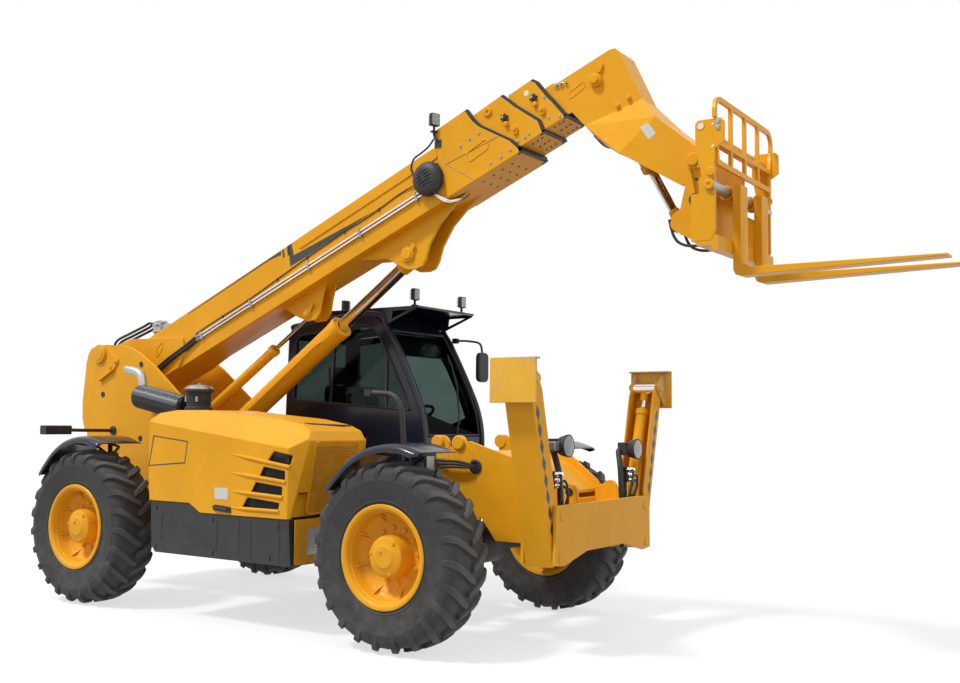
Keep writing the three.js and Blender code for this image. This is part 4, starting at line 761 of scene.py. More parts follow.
PLATE = finish("blank plate", (0.60, 0.60, 0.58), (0.3, 0.3, 0.3), tone=0.06, edge_wear=0.3,
    dust_amount=0.3, gloss=0.35, metallic=0.4)
DARK_LINE = finish("dark stripe", (0.030, 0.031, 0.036), (0.10, 0.09, 0.07), tone=0.1, edge_wear=0.4,
    dust_amount=0.2, gloss=0.38, coat=0.2)
rating = plate(round_outline([(1.652, 0.944), (1.790, 0.944), (1.795, 1.030), (1.646, 1.030)], 0.008),
    HOOD_Y - 0.0025, HOOD_Y + 0.002)
rivets = studs([(x, HOOD_Y - 0.0025, z) for x in (1.662, 1.780) for z in (0.956, 1.019)], (0, -1, 0), 0.004,
    0.003, 10, 1.0)
piece("hood_blank_plate", joined(rating, rivets), PLATE, "hood")
outer = np.array([(0.929, 1.412), (1.334, 1.372), (1.309, 1.200), (0.880, 1.167)])
inner = outer + np.array([(0.010, -0.010), (-0.010, -0.008), (-0.008, 0.010), (0.012, 0.009)])
border = [np.column_stack([line[:, 0], np.full(4, y), line[:, 1]]) for line,
    y in ((outer, HOOD_Y + 0.001), (outer, HOOD_Y - 0.0012), (inner, HOOD_Y - 0.0012),
    (inner, HOOD_Y + 0.001))]
piece("hood_blank_panel_outline", (np.concatenate(border), quads(4, 4, turn_rows=True, turn_cols=True)),
    DARK_LINE, "hood")
catch = [plate(round_outline([(1.640, 0.862), (1.830, 0.846), (1.828, 0.892), (1.648, 0.904)], 0.012),
    HOOD_Y - 0.008, HOOD_Y + 0.002), tube(bent([(1.655, HOOD_Y - 0.008, 0.888),
    (1.655, HOOD_Y - 0.026, 0.888), (1.80, HOOD_Y - 0.026, 0.874), (1.80, HOOD_Y - 0.008, 0.872)], 0.012),
    0.007)]
piece("hood_catch", joined(*catch), SATIN, "hood", 0.0015)

# ---------------------------------------------------------------- skirt under the hood
# A charcoal moulding bolted to a steel tray, with pressed folds, and a yellow end plate in line
# with the hood's front, with a small louvred opening.
welded("engine_skirt", CHARCOAL, 0.006)
welded("engine_block", SATIN, 0.01)
SKIRT_Y = -1.192
bolts = studs([(x, SKIRT_Y, z) for x, z in ((0.978, 0.848), (0.985, 0.545), (1.626, 0.542), (2.300, 0.776),
    (2.220, 0.543), (1.62, 0.79))], (0, -1, 0), 0.013, 0.009)
piece("skirt_bolts", bolts, SATIN, "chassis")
ridges = [[(1.161, 0.774), (1.299, 0.782), (1.615, 0.588), (1.269, 0.590)],
    [(1.05, 0.800), (1.05, 0.600), (1.22, 0.560)], [(1.668, 0.800), (1.676, 0.552)],
    [(1.905, 0.810), (1.912, 0.545)], [(2.027, 0.806), (2.037, 0.520)], [(2.313, 0.822), (2.323, 0.520)]]
lines = [tube(np.column_stack([np.array(r)[:, 0], np.full(len(r), SKIRT_Y + 0.001), np.array(r)[:, 1]]),
    0.0045, 8) for r in ridges]
piece("skirt_folds", joined(*lines), CHARCOAL, "chassis")
end_line = round_outline([(-1.155, 0.508), (-0.445, 0.508), (-0.445, 0.828), (-1.155, 0.828)], 0.01)
piece("skirt_end_plate", plate(end_line, 2.4305, 2.4365, "x"), YELLOW, "chassis", 0.0015)
louvres = [plate([(-1.02, z), (-0.90, z), (-0.90, z + 0.012), (-1.02, z + 0.012)], 2.436, 2.444, "x")
    for z in np.arange(0.585, 0.745, 0.024)]
louvres.append(plate([(-1.03, 0.572), (-0.89, 0.572), (-0.89, 0.762), (-1.03, 0.762)], 2.4355, 2.438, "x"))
piece("skirt_end_louvres", joined(*louvres), STEEL, "chassis")

# ---------------------------------------------------------------- air cleaner and silencer
# The pre-cleaner is a ribbed black canister under a grey dome. The silencer lies aslant under a
# dark heat shield with punched slots, and its bright tail pipe elbows up and back.
welded("rear_cowl", YELLOW, 0.004)
AIR = (0.703, -0.548)
profile = [(1.5005, 0.0), (1.5005, 0.125), (1.522, 0.125), (1.535, 0.118), (1.600, 0.112), (1.612, 0.119),
    (1.640, 0.119), (1.650, 0.104)]
for z in np.arange(1.660, 1.760, 0.020):
    profile += [(z, 0.101), (z + 0.004, 0.106), (z + 0.014, 0.106), (z + 0.018, 0.101)]
profile += [(1.768, 0.104), (1.776, 0.128), (1.788, 0.129), (1.796, 0.127), (1.800, 0.110), (1.800, 0.0)]
body = piece("air_cleaner_canister", turned(profile, (AIR[0], AIR[1], 0), (0, 0, 1), 64), SATIN, "chassis",
    angle=30)
dome = [(1.798, 0.0), (1.798, 0.122), (1.806, 0.120), (1.822, 0.104), (1.834, 0.075), (1.839, 0.035),
    (1.840, 0.018), (1.847, 0.017), (1.849, 0.0)]
piece("air_cleaner_dome", turned(dome, (AIR[0], AIR[1], 0), (0, 0, 1), 64), ZINC, "chassis",
    angle=30)
clips = [block((AIR[0] + 0.106 * math.cos(a) - 0.009, AIR[1] + 0.106 * math.sin(a) - 0.009, 1.69),
    (AIR[0] + 0.106 * math.cos(a) + 0.009, AIR[1] + 0.106 * math.sin(a) + 0.009, 1.735))
    for a in (3.9, 5.4, 1.2)]
piece("air_cleaner_clips", joined(*clips), ZINC, "chassis", 0.002)
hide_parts("air_cleaner")

SHIELD = finish("darkened shield", (0.12, 0.13, 0.15), metallic=0.5, tone=0.1, edge_wear=0.0,
    dust_amount=0.2, gloss=0.42, grain=200.0)
start, finish_point = np.array([-0.060, -0.560, 1.740]), np.array([0.552, -0.560, 1.628])
axis = finish_point - start
length = np.linalg.norm(axis)
ribbed = [(s, 0.103 - 0.003 * (k % 2)) for k, s in enumerate(np.linspace(0.016, length - 0.016, 61))]
can = [(0.0, 0.0), (0.0, 0.086), (0.006, 0.098), *ribbed, (length - 0.006, 0.098), (length, 0.086),
    (length, 0.0)]
shell = piece("silencer_can", turned(can, start, axis, 56), SATIN, "chassis", angle=25)
a, e, f = across_of(axis)
up = e if abs(e[2]) > abs(f[2]) else f
up = up * np.sign(up[2])
side_way = np.cross(a, up)
side_way = side_way * np.sign(side_way[1])
SLOT_COUNT = 17
u = np.linspace(0.012, length - 0.012, SLOT_COUNT * 2 + 1)
theta = np.radians(np.array([-80, -50, -28, -10, 12, 34]))
cover = start + u[:, None, None] * a + 0.112 * (np.cos(theta)[None, :, None] * up
    - np.sin(theta)[None, :, None] * -side_way)
cover_faces = quads(len(u), len(theta))
kept_faces = [f4 for k, f4 in enumerate(cover_faces) if not ((k // (len(theta) - 1)) % 2 == 1
    and k % (len(theta) - 1) == 1)]
shield = piece("silencer_heat_shield", (cover.reshape(-1, 3), kept_faces), SHIELD, "chassis",
    angle=40)
skin = shield.modifiers.new("sheet", "SOLIDIFY")
skin.thickness = 0.0025
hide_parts("silencer")
pipe_line = flowing([(-0.040, -0.560, 1.755), (-0.030, -0.560, 1.815), (-0.028, -0.560, 1.875),
    (-0.060, -0.560, 1.935), (-0.130, -0.560, 1.966), (-0.250, -0.560, 1.985)], 8)
outer_pipe = tube(pipe_line, 0.038, 28)
piece("tail_pipe", outer_pipe, STEEL, "chassis", angle=50)
mouth = np.array(pipe_line[-1])
out_way = mouth - pipe_line[-2]
# the pipe is closed; a black disc at its mouth stands for the bore, its soot together with painted shade
piece("tail_pipe_bore_soot_and_shade", turned([(0.0005, 0.0), (0.0005, 0.033), (0.0015, 0.033), (0.0015, 0.0)], mouth,
    out_way, 28), SATIN, "chassis")
clamp = turned([(-0.012, 0.036), (-0.012, 0.0445), (0.012, 0.0445), (0.012, 0.036)], pipe_line[7],
    pipe_line[8] - pipe_line[7], 28, closed=True)
feet = [block((x, -0.60, 1.5005), (x + 0.04, -0.52, 1.60)) for x in (0.38, 0.48)]
piece("silencer_clamp_and_feet", joined(clamp, *feet), SATIN, "chassis", 0.001)

# ---------------------------------------------------------------- fuel tank and steps
# A welded tank under the cab in satin black, with two steps cut in below the door, chequer treads,
# a filler cap on its rear and a grab rail.
welded("fuel_tank", SATIN, 0.008)
treads = [block((1.69 + k * 0.05, 1.010 + j * 0.04, z), (1.70 + k * 0.05, 1.035 + j * 0.04, z + 0.003))
    for k in range(11) for j in range(4) for z in (0.480, 0.660)]
piece("step_treads", joined(*treads), STEEL, "chassis")
cap = turned([(0.0, 0.0), (0.0, 0.050), (0.020, 0.050), (0.026, 0.044), (0.026, 0.020), (0.040, 0.018),
    (0.040, 0.0)], (1.05, 1.19, 0.74), (0, 1, 0), 32)
piece("fuel_filler_cap", cap, SATIN, "chassis", 0.001)

closing = plate([(-1.150, 0.845), (-1.100, 1.010), (-0.900, 1.010), (-0.900, 0.845)], 2.392, 2.400, "x")
piece("hood_corner_closing_plate", closing, YELLOW, "hood", 0.001)

# ---------------------------------------------------------------- cab
# A rolled-tube frame sheeted in blue-black, with bonded glass on rubber seals, a door on two hinges
# at the left, a roof guard on gussets and a wiper on the windscreen.
CAB_RIGHT, CAB_LEFT = 0.350, 1.230


def tinted(name, thin, thick, bend):
    """Glass, patchy between two tints. Light from lamps and from the walls inside passes straight, dimmed."""
    made = bpy.data.materials.new(name)
    made.use_nodes = True
    tree = made.node_tree
    shader = tree.nodes["Principled BSDF"]
    shader.inputs["Transmission Weight"].default_value = 1.0
    shader.inputs["IOR"].default_value = bend
    shader.inputs["Roughness"].default_value = 0.0
    film = node(tree, "TexNoise", None, Vector=node(tree, "TexCoord").outputs["Object"], Scale=5.0,
        Detail=4.0).outputs[0]
    tint = node(tree, "Mix", {"data_type": "RGBA"}, i0=film, i6=(*thick, 1), i7=(*thin, 1)).outputs[2]
    tree.links.new(tint, shader.inputs["Base Color"])
    path = node(tree, "LightPath").outputs
    straight = node(tree, "Math", {"operation": "MAXIMUM"}, i0=path["Is Shadow Ray"],
        i1=path["Is Diffuse Ray"]).outputs[0]
    clear = node(tree, "BsdfTransparent", None, Color=(0.42, 0.47, 0.46, 1)).outputs[0]
    seen = node(tree, "MixShader", None, i0=straight, i1=shader.outputs[0], i2=clear).outputs[0]
    tree.links.new(seen, tree.nodes["Material Output"].inputs["Surface"])
    return made


DARK_GLASS = tinted("tinted side glass", (0.17, 0.22, 0.21), (0.11, 0.15, 0.14), 1.18)
CLEAR_GLASS = tinted("tinted windscreen", (0.50, 0.57, 0.56), (0.38, 0.45, 0.44), 1.01)
for pane in ("windscreen", "rear_glass", "roof_glass", "side_glass", "door_glass"):
    mesh = frame["nodes"][pane].data
    mesh.materials.clear()
    mesh.materials.append(CLEAR_GLASS if pane == "windscreen" else DARK_GLASS)
welded("cab_shell", NAVY, 0.010)
welded("cab_door", NAVY, 0.006)
welded("roof_guard", NAVY, 0.003)

CAB_SIDE = [(0.850, 0.870), (0.850, 1.616), (0.872, 2.325), (0.905, 2.385), (1.008, 2.412), (1.859, 2.478),
    (2.023, 2.340), (2.155, 2.130), (2.330, 1.800), (2.405, 1.620), (2.444, 1.412), (2.440, 1.050),
    (2.380, 0.870)]
# the rolled tubes of the cab's frame stand a little proud along the front pillars and over the roof
for name, y in (("right", CAB_RIGHT + 0.012), ("left", CAB_LEFT - 0.012)):
    line = flowing([(x, y, z) for x, z in CAB_SIDE[3:-1]], 6)
    piece(f"cab_pillar_tube_{name}", tube(line, 0.024, 14), NAVY, "chassis", angle=60)
window_line = [(0.950, 1.728), (0.965, 2.262), (1.020, 2.318), (1.825, 2.380), (1.935, 2.285), (2.065, 2.075),
               (2.235, 1.752), (2.295, 1.636)]
seal = flowing([(x, CAB_RIGHT + 0.003, z) for x, z in round_outline(window_line, 0.04)], 2)
piece("side_window_seal", tube(np.concatenate([seal, seal[:1]]), 0.009, 8), HOSE, "chassis",
    angle=60)
divider = [plate([(1.372, 1.70), (1.402, 1.70), (1.445, 2.348), (1.412, 2.346)], CAB_RIGHT + 0.004,
    CAB_RIGHT + 0.030), plate([(2.005, 1.66), (2.035, 1.66), (2.035, 2.14), (2.005, 2.18)],
    CAB_RIGHT + 0.004, CAB_RIGHT + 0.030)]
piece("side_window_dividers", joined(*divider), NAVY, "chassis", 0.003)
strip = tube(np.array([(0.846, CAB_RIGHT + 0.02, 0.98), (0.846, CAB_RIGHT + 0.02, 1.62),
    (0.866, CAB_RIGHT + 0.02, 2.30)]), 0.008, 10)
piece("cab_rear_edge_trim", strip, ZINC, "chassis", angle=50)

y0, y1 = (0.410, 1.170)
ring = [(2.437, y0, 1.425), (2.437, y1, 1.425), (2.405, y1, 1.620), (2.330, y1, 1.800), (2.155, y1, 2.130),
        (2.032, y1, 2.326), (2.032, y0, 2.326), (2.155, y0, 2.130), (2.330, y0, 1.800), (2.405, y0, 1.620),
        (2.437, y0, 1.425)]
ring = np.array(ring) + (0.004, 0, 0)
piece("windscreen_seal", tube(ring, 0.010, 8), HOSE, "chassis", angle=60)

wiper = [turned([(0.0, 0.0), (0.0, 0.020), (0.025, 0.020), (0.030, 0.012), (0.030, 0.0)],
    (2.440, 0.80, 1.395), (1, 0, 0), 20), tube([(2.462, 0.80, 1.395), (2.430, 0.88, 1.62),
    (2.350, 0.955, 1.84)], 0.006, 8), tube([(2.380, 0.915, 1.78), (2.352, 0.955, 1.84), (2.240, 1.02, 2.04),
    (2.175, 1.045, 2.14)], 0.008, 8), tube([(2.447, 0.868, 1.52), (2.352, 0.945, 1.83)], 0.004, 6)]
piece("windscreen_wiper", joined(*wiper), SATIN, "chassis", angle=50)
handle = tube(bent([(2.235, CAB_LEFT + 0.002, 1.32), (2.235, CAB_LEFT + 0.045, 1.32),
    (2.235, CAB_LEFT + 0.045, 1.12), (2.235, CAB_LEFT + 0.002, 1.12)], 0.03), 0.011)
piece("door_handle", handle, SATIN, "door", angle=50)

# the mirror: a bent tube arm from the front pillar with an oblong shell, its glass facing back
arm = tube(bent([(2.130, 1.222, 2.285), (2.250, 1.232, 2.285), (2.398, 1.258, 2.262),
    (2.410, 1.262, 2.160)], 0.05), 0.010)
piece("mirror_arm", joined(arm, block((2.115, 1.200, 2.262), (2.165, 1.240, 2.308))), SATIN, "chassis",
    angle=50)
shell_line = round_outline([(1.184, 1.903), (1.342, 1.903), (1.342, 2.173), (1.184, 2.173)], 0.055, 6)
piece("mirror_shell", plate(shell_line, 2.386, 2.434, "x"), SATIN, "chassis", 0.016, 32, 3)
back = round_outline([(1.200, 1.920), (1.326, 1.920), (1.326, 2.156), (1.200, 2.156)], 0.045, 6)
piece("mirror_glass", plate(back, 2.384, 2.387, "x"), CHROME, "chassis")

# the ribs across the roof guard's slots, and the rolled lip along its front
slots = [block((2.08, 0.45 + k * 0.145, 2.5245), (2.27, 0.51 + k * 0.145, 2.5265)) for k in range(5)]
piece("roof_guard_ribs", joined(*slots), SATIN, "chassis", 0.001)
piece("roof_guard_lip", tube([(2.334, 0.365, 2.517), (2.334, 1.215, 2.517)], 0.011, 12), NAVY, "chassis",
    angle=50)

LENS = finish("lamp lens", (0.30, 0.32, 0.33), metallic=0.3, tone=0.3, edge_wear=0.0, dust_amount=0.1,
    gloss=0.2, coat=0.5, grain=60.0, bump=1.0, depth=0.004)


def work_lamp(name, foot, turn, body):
    """A square LED lamp: a finned black case on a stirrup, and its lens; it faces +x, turned about z."""
    c, s = math.cos(math.radians(turn)), math.sin(math.radians(turn))
    swing = np.array([[c, -s, 0], [s, c, 0], [0, 0, 1]])
    case = [plate(round_outline([(-0.040, 0.045), (0.040, 0.045), (0.040, 0.145), (-0.040, 0.145)], 0.008),
        -0.012, 0.022, "x")]
    case += [plate([(-0.032, z), (0.032, z), (0.032, z + 0.004), (-0.032, z + 0.004)], -0.034, -0.012, "x")
        for z in np.arange(0.055, 0.135, 0.012)]
    case += [plate([(-0.006, 0.0), (0.006, 0.0), (0.006, 0.05), (-0.006, 0.05)], -0.01, 0.01, "x"),
        block((-0.02, -0.025, -0.004), (0.02, 0.025, 0.008))]
    points, faces = joined(*case)
    piece(name + "_case", (points @ swing.T + foot, faces), SATIN, body, 0.0025)
    points, faces = plate(round_outline([(-0.033, 0.052), (0.033, 0.052), (0.033, 0.138), (-0.033, 0.138)],
        0.006), 0.021, 0.026, "x")
    piece(name + "_lens", (points @ swing.T + foot, faces), LENS, body, 0.001)


work_lamp("roof_lamp_right", (2.300, 0.385, 2.526), 0, "chassis")
work_lamp("roof_lamp_left", (2.300, 1.080, 2.526), 0, "chassis")
work_lamp("roof_lamp_rear", (1.175, 0.790, 2.526), 180, "chassis")

# ---------------------------------------------------------------- driver's place
# A sprung seat with a padded squab, back and head rest in dark cloth, arm rests, a steering wheel on
# its column, and a pale switch box and a small grey box on the right console.
CLOTH = finish("seat cloth", (0.020, 0.021, 0.024), (0.05, 0.05, 0.05), tone=0.2, edge_wear=0.3,
    dust_amount=0.2, gloss=0.8, grain=900.0, bump=0.6, depth=0.001, sheen=0.3)
PLASTIC = finish("cab plastic", (0.030, 0.031, 0.034), (0.08, 0.08, 0.08), tone=0.1, edge_wear=0.4,
    dust_amount=0.3, gloss=0.5, grain=500.0)
PALE = finish("pale grey case and hole light", (0.74, 0.77, 0.73), (0.6, 0.6, 0.6), tone=0.06, edge_wear=0.4,
    dust_amount=0.2, gloss=0.45)


def cushion(centre, half, lean=0.0):
    """A crowned pad, P = centre + half * sign(c) |c|^p over a sphere's angles, with two sewn dips."""
    v = np.linspace(-np.pi / 2, np.pi / 2, 25)[:, None]
    w = np.linspace(0, 2 * np.pi, 48, endpoint=False)[None, :]

    def power(t, e):
        return np.sign(t) * np.abs(t) ** e

    x = power(np.cos(v), 0.55) * power(np.cos(w), 0.38)
    y = power(np.cos(v), 0.55) * power(np.sin(w), 0.38)
    z = power(np.sin(v), 0.6) * np.ones_like(w)
    crown = 1 - 0.13 * (x**2 + y**2)
    seam = 1 - 0.10 * np.exp(-((np.abs(y) - 0.52) / 0.06) ** 2)
    p = np.stack([x * half[0] * (1 - 0.04 * (1 - y**2)), y * half[1] * (1 - 0.05 * (1 - x**2)),
        z * half[2] * crown * seam], -1).reshape(-1, 3)
    c, s = math.cos(lean), math.sin(lean)
    p = np.stack([p[:, 0] * c - p[:, 2] * s, p[:, 1], p[:, 0] * s + p[:, 2] * c], 1)
    return p + np.array(centre), quads(25, 48, turn_cols=True)


squab = piece("seat_squab", cushion((1.44, 0.83, 1.315), (0.26, 0.225, 0.065), 0.06), CLOTH, "chassis",
    angle=60)
back = piece("seat_back", cushion((1.115, 0.83, 1.610), (0.275, 0.215, 0.055), math.radians(97)), CLOTH,
    "chassis", angle=60)
rest = piece("seat_head_rest", cushion((1.060, 0.83, 1.965), (0.085, 0.125, 0.038), math.radians(97)),
    CLOTH, "chassis", angle=60)
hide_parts("driver_seat")
base = [block((1.22, 0.66, 0.916), (1.60, 1.00, 0.96)), block((1.26, 0.70, 1.20), (1.62, 0.96, 1.245)),
    turned([(0.0, 0.0), (0.0, 0.13), (0.03, 0.15), (0.06, 0.13), (0.09, 0.15), (0.12, 0.13), (0.15, 0.15),
    (0.18, 0.13), (0.24, 0.13), (0.24, 0.0)], (1.43, 0.83, 0.96), (0, 0, 1), 32)]
base += [tube(bent([(1.12, y, 1.40), (1.14, y, 1.47), (1.36, y, 1.475)], 0.04), 0.024, 12)
    for y in (0.585, 1.075)]
base += [tube([(1.075, y, 1.86), (1.06, y, 1.95)], 0.007, 8) for y in (0.79, 0.87)]
piece("seat_base", joined(*base), PLASTIC, "chassis", 0.004)
welded("dashboard", PLASTIC, 0.012)
hub = np.array([1.975, 0.83, 1.575])
axis = np.array([1.985 - 2.160, 0, 1.560 - 1.300])
a, e, f = across_of(axis)
t = np.linspace(0, 2 * np.pi, 49)
rim_line = hub + 0.185 * (np.cos(t)[:, None] * e + np.sin(t)[:, None] * f)
wheel = [tube(rim_line, 0.014, 12), turned([(-0.03, 0.0), (-0.03, 0.03), (0.0, 0.045), (0.015, 0.04),
    (0.022, 0.0)], hub, axis, 28)]
wheel += [tube([hub - a * 0.004, hub + 0.183 * (math.cos(q) * e + math.sin(q) * f)], 0.010, 8)
    for q in (0.6, 2.7, 4.7)]
piece("steering_wheel", joined(*wheel), PLASTIC, "chassis", angle=50)
piece("switch_box", block((1.500, 0.440, 1.401), (1.735, 0.560, 1.840)), PALE, "chassis",
    0.012, 32, 3)
knobs = [turned([(0.0, 0.0), (0.0, 0.016), (0.010, 0.016), (0.014, 0.010), (0.014, 0.0)], (x, 0.440, z),
    (0, -1, 0), 16) for x, z in ((1.55, 1.77), (1.68, 1.80), (1.55, 1.70))]
piece("switch_box_knobs", joined(*knobs), PLASTIC, "chassis")
piece("monitor", joined(block((1.760, 0.420, 1.655), (1.900, 0.520, 1.775)),
    block((1.815, 0.455, 1.401), (1.845, 0.485, 1.66))), STEEL, "chassis", 0.008)
levers = [tube(bent([(1.62, 0.50, 1.40), (1.62, 0.50, 1.47)], 0.02), 0.008),
    turned([(0.0, 0.0), (0.0, 0.018), (0.05, 0.026), (0.10, 0.022), (0.115, 0.010), (0.115, 0.0)],
    (1.45, 0.60, 1.48), (0, 0, 1), 20)]
piece("lever", joined(*levers), PLASTIC, "chassis")

# a bent black tube stands in front of the cab, on the frame
rail = tube(bent([(2.369, -0.256, 1.764), (2.599, -0.256, 1.752), (2.679, -0.256, 1.644),
    (2.729, -0.256, 1.064), (2.729, -0.256, 0.734)], 0.10, 8), 0.022, 16)
piece("hand_rail", joined(rail, block((2.319, -0.281, 1.739), (2.384, -0.231, 1.789))), SATIN, "chassis",
    angle=50)

# ---------------------------------------------------------------- boom sections
# Four welded steel boxes, one inside another on black slide pads. Each front end is a thicker collar
# with a raked edge, pad adjusters and screws; each piece rides the section it is bolted to.
TILT = math.radians(22.5)


def boom(*shapes):
    """Turns shapes given as (u along the boom, y, v above its top plate) into the machine's frame."""
    points, faces = joined(*shapes)
    u, y, v = points.T
    c, s = math.cos(TILT), math.sin(TILT)
    return np.stack([-0.8 + u * c - v * s, y, 2.15 + u * s + v * c], 1), faces


for section in ("boom_base", "boom_second", "boom_third"):
    made = welded(section, YELLOW, 0.004)
    # the long lower corners are folded to a radius
    folded = bmesh.new()
    folded.from_mesh(made.data)
    folded.normal_update()
    low = []
    for e in folded.edges:
        normals = [f.normal for f in e.link_faces]
        if e.calc_length() > 0.8 and len(normals) == 2 and min(n.z for n in normals) < -0.8 and max(abs(n.y)
                for n in normals) > 0.9 and e.is_convex:
            low.append(e)
    bmesh.ops.bevel(folded, geom=low, offset=0.040, segments=6, profile=0.5, affect="EDGES")
    folded.to_mesh(made.data)
    folded.free()
welded("boom_head", YELLOW, 0.0, 9)

BASE_EDGE = [(4.376, 0.116), (4.407, 0.005), (4.442, -0.067), (4.642, -0.312), (4.688, -0.408),
    (4.688, -0.44)]
SECOND_EDGE = [(4.690, 0.060), (4.734, -0.018), (4.769, -0.084), (4.902, -0.289), (4.904, -0.393)]
THIRD_EDGE = [(4.952, 0.041), (4.983, 0.002), (5.023, -0.134), (5.057, -0.222), (5.105, -0.371)]
for name, section, edge, inner, outer, bottom in (("first", "boom_base", BASE_EDGE, 0.160, 0.193, -0.393),
        ("second", "boom_second", SECOND_EDGE, 0.139, 0.170, -0.371), ("third", "boom_third", THIRD_EDGE,
        0.118, 0.149, -0.350)):
    line = np.array(edge)
    strips = []
    for side in SIDES.values():
        strips.append(plate(np.concatenate([line - (0.03, 0), (line + (0.026, 0))[::-1]]),
            side * (inner + 0.001), side * outer))
    low_u = line[-1, 0]
    strips.append(block((low_u - 0.03, -outer, line[-1, 1] + 0.004), (low_u + 0.026, outer, bottom - 0.001)))
    piece(f"slide_pads_{name}", boom(*strips), SATIN, section, 0.002)


def flat(line, y):
    """A line of (u, v) points laid on a side face of the boom."""
    return np.insert(np.array(line, float), 1, y, axis=1)


# the base section's raised strip, dark stripes, seams and pressed slots, on both sides
for name, side in SIDES.items():
    wall, collar = side * 0.185, side * 0.198
    strip = plate(round_outline([(2.44, -0.095), (4.02, -0.095), (4.02, -0.004), (2.44, -0.004)], 0.035, 6),
        wall, wall + side * 0.009)
    piece(f"boom_strip_{name}", boom(strip), YELLOW, "boom_base", 0.003)
    stripes = [[(2.335, -0.004), (2.375, -0.004), (2.363, -0.112), (2.50, -0.122), (3.285, -0.181),
        (2.496, -0.190), (2.293, -0.185)], [(2.255, -0.008), (2.275, -0.008), (2.262, -0.078),
        (2.242, -0.078)], [(2.315, -0.008), (2.341, -0.008), (2.323, -0.086), (2.300, -0.086)],
        [(0.98, -0.019), (0.98, -0.013), (2.240, -0.008), (2.232, -0.040), (2.08, -0.021)]]
    stripes = [plate(line, wall, wall + side * 0.0012) for line in stripes]
    piece(f"boom_stripes_{name}", boom(*stripes), DARK_LINE, "boom_base")
    seams = [tube(flat(line, collar), 0.0022, 6) for line in ([(4.060, -0.190), (4.572, -0.235)],
        [(4.069, -0.191), (4.255, -0.433)])]
    piece(f"boom_seams_{name}", boom(*seams), DARK_LINE, "boom_base")
    presses = [([(4.262, -0.285), (4.470, -0.272), (4.478, -0.192), (4.268, -0.205)], collar),
        ([(0.450, -0.235), (0.560, -0.190), (0.600, -0.115), (0.490, -0.155)], side * 0.205)]
    ringed = []
    for line, y in presses:
        ring = flat(round_outline(line, 0.036, 7), y)
        ringed.append(tube(np.concatenate([ring, ring[:1]]), 0.0055, 8))
    piece(f"boom_pressed_slots_{name}", boom(*ringed), YELLOW, "boom_base", angle=60)
    screws = studs([(u, collar, v) for u, v in ((4.426, -0.12), (4.24, -0.125), (4.335, -0.117),
        (4.434, -0.387), (4.625, -0.382), (4.534, -0.391))], (0, side, 0), 0.011, 0.009)
    piece(f"base_collar_screws_{name}", boom(screws), ZINC, "boom_base")

under = {"boom_base": (np.repeat([4.278, 4.378, 4.468, 4.557], 3), -0.44),
    "boom_second": (np.repeat([4.775, 4.82, 4.86], 3), -0.393), "boom_third": (np.repeat([4.985, 5.03,
    5.065], 3), -0.371)}
for section, (u, v) in under.items():
    places = np.column_stack([u, np.tile([-0.1, 0, 0.1], len(u) // 3), np.full(len(u), v)])
    piece(f"{section}_pad_screws", boom(studs(places, (0, 0, -1), 0.009, 0.004, 8, 1.0)), SATIN, section)


def adjuster(u, v, face, side):
    """A pad adjuster: a six-lobed black knob, r = 0.026 + 0.007 cos 6t, on a threaded end in a cast yoke."""
    t = np.linspace(0, 2 * np.pi, 48, endpoint=False)
    r = 0.026 + 0.007 * np.cos(6 * t)
    knob = plate(np.column_stack([u + r * np.cos(t), v + r * np.sin(t)]), face, face + side * 0.022)
    thread = turned([(0.0, 0.0), (0.0, 0.009), (0.040, 0.009), (0.040, 0.0)], (u, face, v), (0, side, 0), 16)
    return knob, thread


COLLARS = {"boom_second": (0.173, (4.666, -0.122), (4.712, -0.259),
    [(4.804, -0.339), (4.764, -0.349), (4.70, -0.345)], (4.550, 0.002)),
    "boom_third": (0.152, (4.933, -0.104), (4.962, -0.235), [(5.012, -0.142), (5.070, -0.343),
    (4.985, -0.305)], (4.890, -0.032))}
for section, (half, star, yoke, screws, hole) in COLLARS.items():
    for name, side in SIDES.items():
        face = side * half
        knob, thread = adjuster(*star, face, side)
        piece(f"{section}_adjuster_knob_{name}", boom(knob), SATIN, section, 0.004)
        lugs = [plate(round_outline([(yoke[0] - 0.030, yoke[1] + 0.030), (yoke[0] + 0.022, yoke[1] + 0.036),
            (yoke[0] + 0.028, yoke[1] + 0.004), (yoke[0] + 0.010, yoke[1] - 0.032),
            (yoke[0] - 0.018, yoke[1] - 0.030)], 0.012), face, face + side * 0.018),
            turned([(0.0, 0.0), (0.0, 0.020), (0.024, 0.020), (0.028, 0.014), (0.028, 0.0)],
            (star[0] - 0.005, face, star[1] - 0.052), (0, side, 0), 20),
            turned([(0.0, 0.0), (0.0, 0.016), (0.030, 0.016), (0.030, 0.0)],
            (yoke[0] + 0.002, face, yoke[1] + 0.012), (0, side, 0), 18)]
        piece(f"{section}_adjuster_yoke_{name}", boom(*lugs), YELLOW, section, 0.002)
        small = studs([(u, face, v) for u, v in screws], (0, side, 0), 0.010, 0.008)
        piece(f"{section}_collar_screws_{name}", boom(small, thread), ZINC, section)
        if section == "boom_second":
            ring = turned([(0.0, 0.0), (0.0, 0.036), (0.012, 0.036), (0.016, 0.030), (0.016, 0.014),
                (0.004, 0.010), (0.004, 0.0)], (hole[0], face, hole[1]), (0, side, 0), 28)
            piece(f"{section}_boss_{name}", boom(ring), YELLOW, section, 0.001)
        else:
            # the lifting hole is a pale disc that paints the light seen through it; there is no hole
            ring = turned([(-0.001, 0.0), (-0.001, 0.021), (0.0006, 0.021), (0.0006, 0.0)],
                (hole[0], face, hole[1]), (0, side, 0), 28)
            piece(f"{section}_lifting_hole_{name}", boom(ring), PALE, section)

